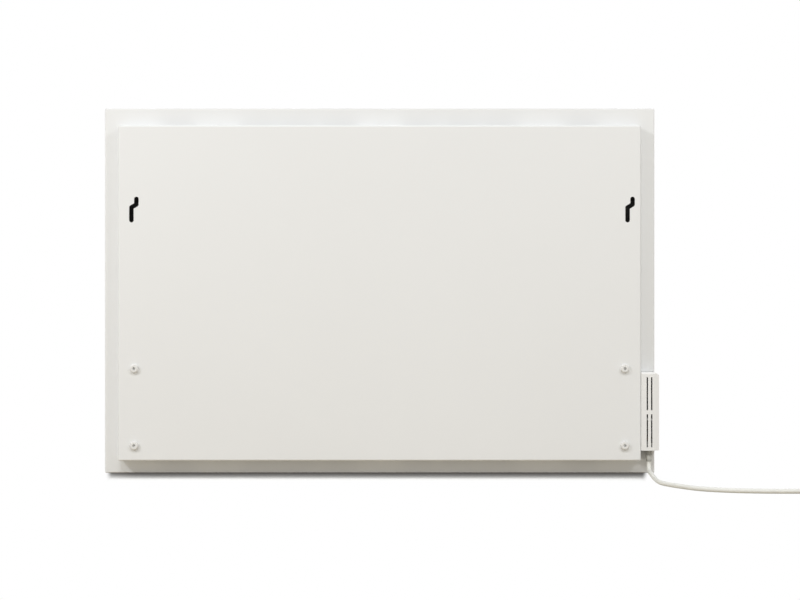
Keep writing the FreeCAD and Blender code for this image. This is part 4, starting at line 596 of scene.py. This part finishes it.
def board_lacquer(surface):
    across = {"Vector": surface, "Scale": TRACK_SCALE}
    across.update({"Distortion": TRACK_WOBBLE, "Detail Scale": TRACK_DETAIL})
    tracks = surface.node("ShaderNodeTexWave", {"bands_direction": "Y"}, across, 1)
    return {
        "Base Color": tint(tracks > TRACK_EDGE, LACQUER_DARK, LACQUER_TRACK),
        "Roughness": between(noise(surface, LACQUER_GRAIN), LACQUER_SHEEN),
        "Normal": relief(tracks > TRACK_EDGE, TRACK_DEPTH),
    }


laminate = finish("board_laminate", {"Specular IOR Level": 0.5}, board_lacquer)
black_look = moulded(MOULDED_BLACK, MOULDED_GREY, clouding=90.0, rough=0.34)
black_plastic = finish("black_plastic", {"Specular IOR Level": 0.45}, black_look)
dress(laminate, "control_board", "supply_terminals", "load_terminals")
dress(black_plastic, "board_relay", "board_capacitor", "display_module", "key_switches", "room_sensor")

# Display window
# A smoked plastic pane snapped into the housing's outer side in front of the display.
# Its polished face shows only the faintest haze from cleaning.
SMOKE = (0.012, 0.012, 0.015, 1)
SMOKE_HAZE = (0.028, 0.028, 0.032, 1)
HAZE_STREAKS = (200.0, 500.0, 120.0)
WINDOW_SHEEN = (0.06, 0.16)


def smoked_pane(surface):
    haze = noise(stretched(surface, HAZE_STREAKS), 1.0, 3.0)
    return {"Base Color": tint(haze, SMOKE, SMOKE_HAZE), "Roughness": between(haze, WINDOW_SHEEN)}


window = finish("smoked_window", {"Coat Weight": 0.5, "Coat Roughness": 0.04}, smoked_pane)
dress(window, "display_window")

# Keys
# Three pale grey key caps in the housing's outer side, held by a flange behind its wall.
# Each has a dark printed sign that moves with it: on and off, less, and more.
KEY_GREY = (0.64, 0.64, 0.62, 1)
KEY_SHADE = (0.58, 0.58, 0.56, 1)
INK_DARK = (0.060, 0.062, 0.066, 1)
INK_WORN = (0.110, 0.112, 0.116, 1)
INK_LIFT = 0.00004
WEAR_SCALE = 1800.0
INK_SHEEN = (0.50, 0.65)
SIGN_REACH = 0.0018
SIGN_STROKE = 0.0005
ARC_STEPS = 24
ARC_OPENING = math.radians(36)


def printed_ink(surface):
    wear = noise(surface, WEAR_SCALE, 3.0)
    return {"Base Color": tint(wear, INK_DARK, INK_WORN), "Roughness": between(wear, INK_SHEEN)}


def bar_outline(width, height, lift=0.0):
    """Corners of an upright bar on the drawing plane, across and up."""
    across = width / 2
    up = height / 2
    return [[(-across, lift - up), (across, lift - up), (across, lift + up), (-across, lift + up)]]


def ring_outline(radius, stroke, opening=0.0):
    """Quads of a ring on the drawing plane, with an opening at its top."""
    quads = []
    span = math.tau - 2 * opening
    for k in range(ARC_STEPS):
        ends = [math.pi / 2 + opening + span * step / ARC_STEPS for step in (k, k + 1)]
        inner = [(radius * math.cos(a), radius * math.sin(a)) for a in ends]
        outer = [((radius + stroke) * math.cos(a), (radius + stroke) * math.sin(a)) for a in ends]
        quads.append([inner[0], outer[0], outer[1], inner[1]])
    return quads


def printed(name, outlines, placing, ink):
    """Thin printed sign: outlines on the drawing plane, put on a face by a matrix."""
    mesh = bpy.data.meshes.new(name)
    drawing = bmesh.new()
    for corners in outlines:
        rim = [drawing.verts.new((-INK_LIFT, -across, up)) for across, up in corners]
        face = drawing.faces.new(rim)
        solid = bmesh.ops.extrude_face_region(drawing, geom=[face])
        lifted = [part for part in solid["geom"] if isinstance(part, bmesh.types.BMVert)]
        bmesh.ops.translate(drawing, verts=lifted, vec=(2 * INK_LIFT, 0, 0))
    bmesh.ops.recalc_face_normals(drawing, faces=drawing.faces)
    drawing.transform(placing)
    drawing.to_mesh(mesh)
    drawing.free()
    mesh.materials.append(ink)
    return piece(name, mesh)


grey_look = moulded(KEY_SHADE, KEY_GREY, clouding=30.0, rough=0.46)
grey_plastic = finish("grey_plastic", {"Specular IOR Level": 0.4}, grey_look)
dark_ink = finish("dark_ink", {"Specular IOR Level": 0.2}, printed_ink)
less_bar = bar_outline(2 * SIGN_REACH, SIGN_STROKE)
upright_bar = bar_outline(SIGN_STROKE, 2 * SIGN_REACH)
SIGNS = {
    "key_power": ring_outline(SIGN_REACH - SIGN_STROKE, SIGN_STROKE, ARC_OPENING)
    + bar_outline(SIGN_STROKE, SIGN_REACH, SIGN_REACH / 2 + SIGN_STROKE),
    "key_minus": less_bar,
    "key_plus": less_bar + upright_bar,
}
for key, outlines in SIGNS.items():
    dress(grey_plastic, key)
    low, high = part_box(key)
    face_centre = Vector((low.x, (low.y + high.y) / 2, (low.z + high.z) / 2))
    sign = printed(f"sign_{key}", outlines, Matrix.Translation(face_centre), dark_ink)
    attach(sign, key)

# Mains switch
# A snap-in rocker switch: a black frame with a pocket, and a pale rocker that tilts on its pin.
# The two halves of the rocker carry the usual on and off marks.
ROCKER_SLOPE = math.radians(7)
VALLEY_FROM_PIVOT = 0.0032
MARK_FROM_VALLEY = 0.0050
dress(black_plastic, "switch_frame")
dress(grey_plastic, "switch_rocker")
tilt = next(joint for joint in frame["joints"] if joint["child"] == "rocker")
at_rest = Matrix.Translation(tilt["pos_m"]) @ Matrix.Rotation(-ROCKER_SLOPE, 4, "Y")
at_rest = at_rest @ Matrix.Translation((-VALLEY_FROM_PIVOT, 0, 0))
MARKS = {
    "mark_on": (1, upright_bar),
    "mark_off": (-1, ring_outline(SIGN_REACH - SIGN_STROKE, SIGN_STROKE)),
}
for name, (side, outlines) in MARKS.items():
    half = Matrix.Rotation(-side * ROCKER_SLOPE, 4, "Y")
    half = half @ Matrix.Translation((0, 0, side * MARK_FROM_VALLEY))
    mark = printed(name, outlines, at_rest @ half, dark_ink)
    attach(mark, "rocker")
dress(wire_jacket, "supply_wires")

# Strain relief and cord clamp
# A grooved tapered sleeve where the cord leaves the housing, and a bar with two screws inside.
# Both are grey mouldings, and the sleeve's neck and mouth are darkened as painted shade round a paler
# collar.
SLEEVE_PAINTED_SHADE = (0.37, 0.37, 0.35, 1)
SLEEVE_PALE = (0.56, 0.56, 0.53, 1)
COLLAR_TOP = 0.0085
COLLAR_FOOT = 0.0152
SLEEVE_SHEEN = (0.50, 0.62)


def sleeve_with_painted_shade(surface):
    drop = housing_low.z - surface.axes()[2]
    grain = noise(surface, MOULD_GRAIN, 1.0)
    return {
        # Painted shade: the neck under the housing and the mouth are darker than the collar.
        "Base Color": tint((drop > COLLAR_TOP) * (drop < COLLAR_FOOT), SLEEVE_PAINTED_SHADE, SLEEVE_PALE),
        "Roughness": between(grain, SLEEVE_SHEEN),
        "Normal": relief(grain, MOULD_DEPTH),
    }


sleeve_plastic = finish("sleeve_plastic", {"Specular IOR Level": 0.3}, sleeve_with_painted_shade)
dress(sleeve_plastic, "strain_relief")
dress(grey_plastic, "cord_clamp")
dress(zinc, "clamp_screws")

# Mains cord, tie and plug
# A round three-core lead in a white flexible sheath. It drops to the floor, runs out to the side,
# and its spare length lies in a tied two-layer coil beside the moulded plug with two bright pins.
CORD_DIAMETER = 0.0072
SHEATH_WHITE = (0.800, 0.805, 0.770, 1)
SHEATH_SCUFF = (0.735, 0.735, 0.695, 1)
NICKEL_BRIGHT = (0.76, 0.74, 0.70, 1)
NICKEL_DULL = (0.62, 0.60, 0.56, 1)
SHEATH_SCUFFS = 90.0
SHEATH_GRAIN = 2200.0
SHEATH_DEPTH = 0.00001
SHEATH_SHEEN = (0.46, 0.58)
PIN_LINES = (1500.0, 30.0, 1500.0)
PIN_DEPTH = 0.000003
PIN_SHEEN = (0.16, 0.30)
CORD_EXIT = (-0.43895, -0.0113, -0.4270)
FLOOR_LINE = -0.4434
CORD_RUN = [
    CORD_EXIT,
    (-0.43895, -0.0113, -0.4356),
    (-0.43865, -0.0029, FLOOR_LINE),
    (-0.43775, 0.0150, FLOOR_LINE),
    (-0.43555, 0.0450, FLOOR_LINE),
    (-0.43155, 0.0940, FLOOR_LINE),
    (-0.43075, 0.1520, FLOOR_LINE),
    (-0.44700, 0.1860, FLOOR_LINE),
    (-0.47550, 0.2290, FLOOR_LINE),
    (-0.52000, 0.2500, FLOOR_LINE),
    (-0.56600, 0.2570, FLOOR_LINE),
    (-0.61200, 0.2580, FLOOR_LINE),
    (-0.65200, 0.256175, FLOOR_LINE),
    (-0.66800, 0.256175, -0.4423),
    (-0.68280, 0.256175, -0.4423),
]
COIL_CENTRE = Vector((-0.690, 0.2112, -0.4423))
COIL_INNER_RADIUS = 0.0284
COIL_STEP = 0.0078
COIL_TURNS = 4.25
COIL_CLIMB = 0.5
POINTS_PER_TURN = 24
CORD_TAIL = [
    (-0.734975, 0.2040, -0.4345),
    (-0.734975, 0.1860, -0.4345),
    (-0.734975, 0.1600, FLOOR_LINE),
    (-0.734975, 0.1475, FLOOR_LINE),
    (-0.734975, 0.1380, -0.4407),
]


def coil_point(turn):
    """Point of the coil: in along the floor, up one layer by the middle turn, and out again."""
    from_middle = turn - COIL_TURNS / 2
    angle = math.pi / 2 + math.tau * turn
    radius = COIL_INNER_RADIUS + COIL_STEP * abs(from_middle)
    climb = min(max(from_middle / COIL_CLIMB + 0.5, 0.0), 1.0)
    rise = COIL_STEP * climb * climb * (3 - 2 * climb)
    return COIL_CENTRE + Vector((radius * math.cos(angle), radius * math.sin(angle), rise))


def soft_sheath(surface):
    scuffs = noise(surface, SHEATH_SCUFFS, 4.0)
    grain = noise(surface, SHEATH_GRAIN, 1.0)
    return {
        "Base Color": tint(scuffs, SHEATH_SCUFF, SHEATH_WHITE),
        "Roughness": between(grain, SHEATH_SHEEN),
        "Normal": relief(grain, SHEATH_DEPTH),
    }


def polished_pin(surface):
    lines = noise(stretched(surface, PIN_LINES), 1.0, 3.0)
    return {
        "Base Color": tint(lines, NICKEL_DULL, NICKEL_BRIGHT),
        "Roughness": between(lines, PIN_SHEEN),
        "Normal": relief(lines, PIN_DEPTH),
    }


sheath = finish("cord_sheath", {"Specular IOR Level": 0.35}, soft_sheath)
nickel = finish("pin_nickel", {"Metallic": 1.0}, polished_pin)
line = bpy.data.curves.new("mains_cord", "CURVE")
line.dimensions = "3D"
line.bevel_depth = CORD_DIAMETER / 2
line.bevel_resolution = 6
line.resolution_u = 8
line.use_fill_caps = True
line.materials.append(sheath)
coil_steps = round(COIL_TURNS * POINTS_PER_TURN)
turns = [coil_point(COIL_TURNS * k / coil_steps) for k in range(coil_steps + 1)]
route = CORD_RUN + [tuple(point) for point in turns] + CORD_TAIL
strand = line.splines.new("NURBS")
strand.points.add(len(route) - 1)
for control, point in zip(strand.points, route):
    control.co = (*point, 1)
strand.order_u = 3
strand.use_endpoint_u = True
cord = piece("mains_cord", line)
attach(cord, "heater")
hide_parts("power_cord", "cord_coil", "cord_tail")
dress(sheath, "inner_lead")
dress(black_plastic, "cord_tie")
dress(white_plastic, "plug_body")
dress(nickel, "plug_pins")

# Floor and backdrop
# A plain white floor that keeps the shadow, deepened by painted contact shade, close to the heater; it
# runs out into a white room.
FLOOR_WHITE = (0.93, 0.93, 0.92, 1)
FLOOR_BOUNCE = (0.56, 0.50, 0.40, 1)
CONTACT_SHADE_GREY = (0.140, 0.137, 0.135, 1)
CONTACT_REACH = 0.085
CONTACT_SAMPLES = 16
CONTACT_DEPTH = 4.8
FLOOR_REACH = 4.0
SHADOW_SHIFT = 0.004
SHADOW_TAPER = 0.18
SHADOW_SIDE = 0.020
SHADOW_END = 0.009
SHADOW_NEAR = 0.04
SHADOW_FAR = 0.12
AMBIENT = 0.55
floor_z = cad_box[0].z
floor_mesh = bpy.data.meshes.new("floor")
floor_signs = ((-1, -1), (1, -1), (1, 1), (-1, 1))
floor_corners = [(x * FLOOR_REACH, y * FLOOR_REACH, floor_z) for x, y in floor_signs]
floor_mesh.from_pydata(floor_corners, [], [(0, 1, 2, 3)])


def seen_rays(tree):
    """One for a ray from the camera, from a mirror or through glass, and zero for other light."""
    path = tree.nodes.new("ShaderNodeLightPath")
    camera, glossy, through = [
        Field(tree, path.outputs[f"Is {kind} Ray"]) for kind in ("Camera", "Glossy", "Transmission")
    ]
    return camera.math("MAXIMUM", camera.math("MAXIMUM", camera, glossy), through)


def white_floor():
    material = bpy.data.materials.new("white_floor")
    material.use_nodes = True
    tree = material.node_tree
    tree.nodes.remove(tree.nodes["Principled BSDF"])
    place = Field(tree, tree.nodes.new("ShaderNodeTexCoord").outputs["Object"])
    x, y = place.axes()[:2]

    def beyond(distance, near, far):
        ends = {"Value": distance, "From Min": near, "From Max": far}
        return place.node("ShaderNodeMapRange", {"interpolation_type": "SMOOTHSTEP"}, ends)

    span = abs(x - SHADOW_SHIFT) + SHADOW_TAPER * y
    outside = beyond(span, panel_high.x - SHADOW_SIDE, panel_high.x - SHADOW_END)
    far = x.math("MAXIMUM", outside, beyond(abs(y), SHADOW_NEAR, SHADOW_FAR))
    seen = seen_rays(tree)
    # Painted contact shade: the floor's colour darkens with occlusion near the heater, on top of its
    # lit shadow.
    reach = {"Distance": CONTACT_REACH}
    open_sky = place.node("ShaderNodeAmbientOcclusion", {"samples": CONTACT_SAMPLES}, reach, 1)
    shaded = tint(open_sky.math("POWER", open_sky, CONTACT_DEPTH), CONTACT_SHADE_GREY, FLOOR_WHITE)
    matt = place.node("ShaderNodeBsdfDiffuse", {}, {"Color": tint(seen, FLOOR_BOUNCE, shaded)})
    white = place.node("ShaderNodeEmission", {}, {"Strength": 1.0})
    mixed = place.node("ShaderNodeMixShader", {}, {0: far * seen, 1: matt, 2: white})
    tree.links.new(mixed.socket, tree.nodes["Material Output"].inputs["Surface"])
    return material


floor_mesh.materials.append(white_floor())
piece("floor", floor_mesh)
room = bpy.data.worlds.new("white_room")
bpy.context.scene.world = room
room.use_nodes = True
backdrop = room.node_tree.nodes["Background"]
backdrop.inputs["Color"].default_value = (1, 1, 1, 1)
glow = seen_rays(room.node_tree) * (1 - AMBIENT) + AMBIENT
room.node_tree.links.new(glow.socket, backdrop.inputs["Strength"])

# Lamps
# A small lamp high on each side, of which the photograph's left one is stronger and draws the casing's
# shadow on the return flange, and a wide soft box high behind the camera.
LAMPS = {
    "left_lamp": {"power": 24.0, "width": 0.25, "place": Vector((2.0, 1.6, 1.32))},
    "right_lamp": {"power": 12.0, "width": 0.4, "place": Vector((-1.5, 1.7, 1.32))},
    "top_soft_box": {"power": 154.0, "width": 1.4, "place": Vector((0.3, 5.0, 6.0))},
}
LAMP_TARGET = Vector((0.0, 0.0, -0.15))
for name, built in LAMPS.items():
    lamp = bpy.data.lights.new(name, "AREA")
    lamp.energy = built["power"]
    lamp.size = built["width"]
    stand = piece(name, lamp)
    stand.location = built["place"]
    stand.rotation_euler = (LAMP_TARGET - built["place"]).to_track_quat("-Z", "Y").to_euler()

# Camera
# The photograph looks straight at the heater's back from just below the middle of its height.
CAMERA_PLACE = (-0.0333, 2.5775, -0.1640)
CAMERA_LENS = 71.46
view = bpy.data.cameras.new("view")
view.lens = CAMERA_LENS
camera = piece("view", view)
camera.location = CAMERA_PLACE
camera.rotation_euler = (math.radians(90), 0, math.radians(180))
bpy.context.scene.camera = camera
bpy.context.scene.view_settings.view_transform = "Standard"
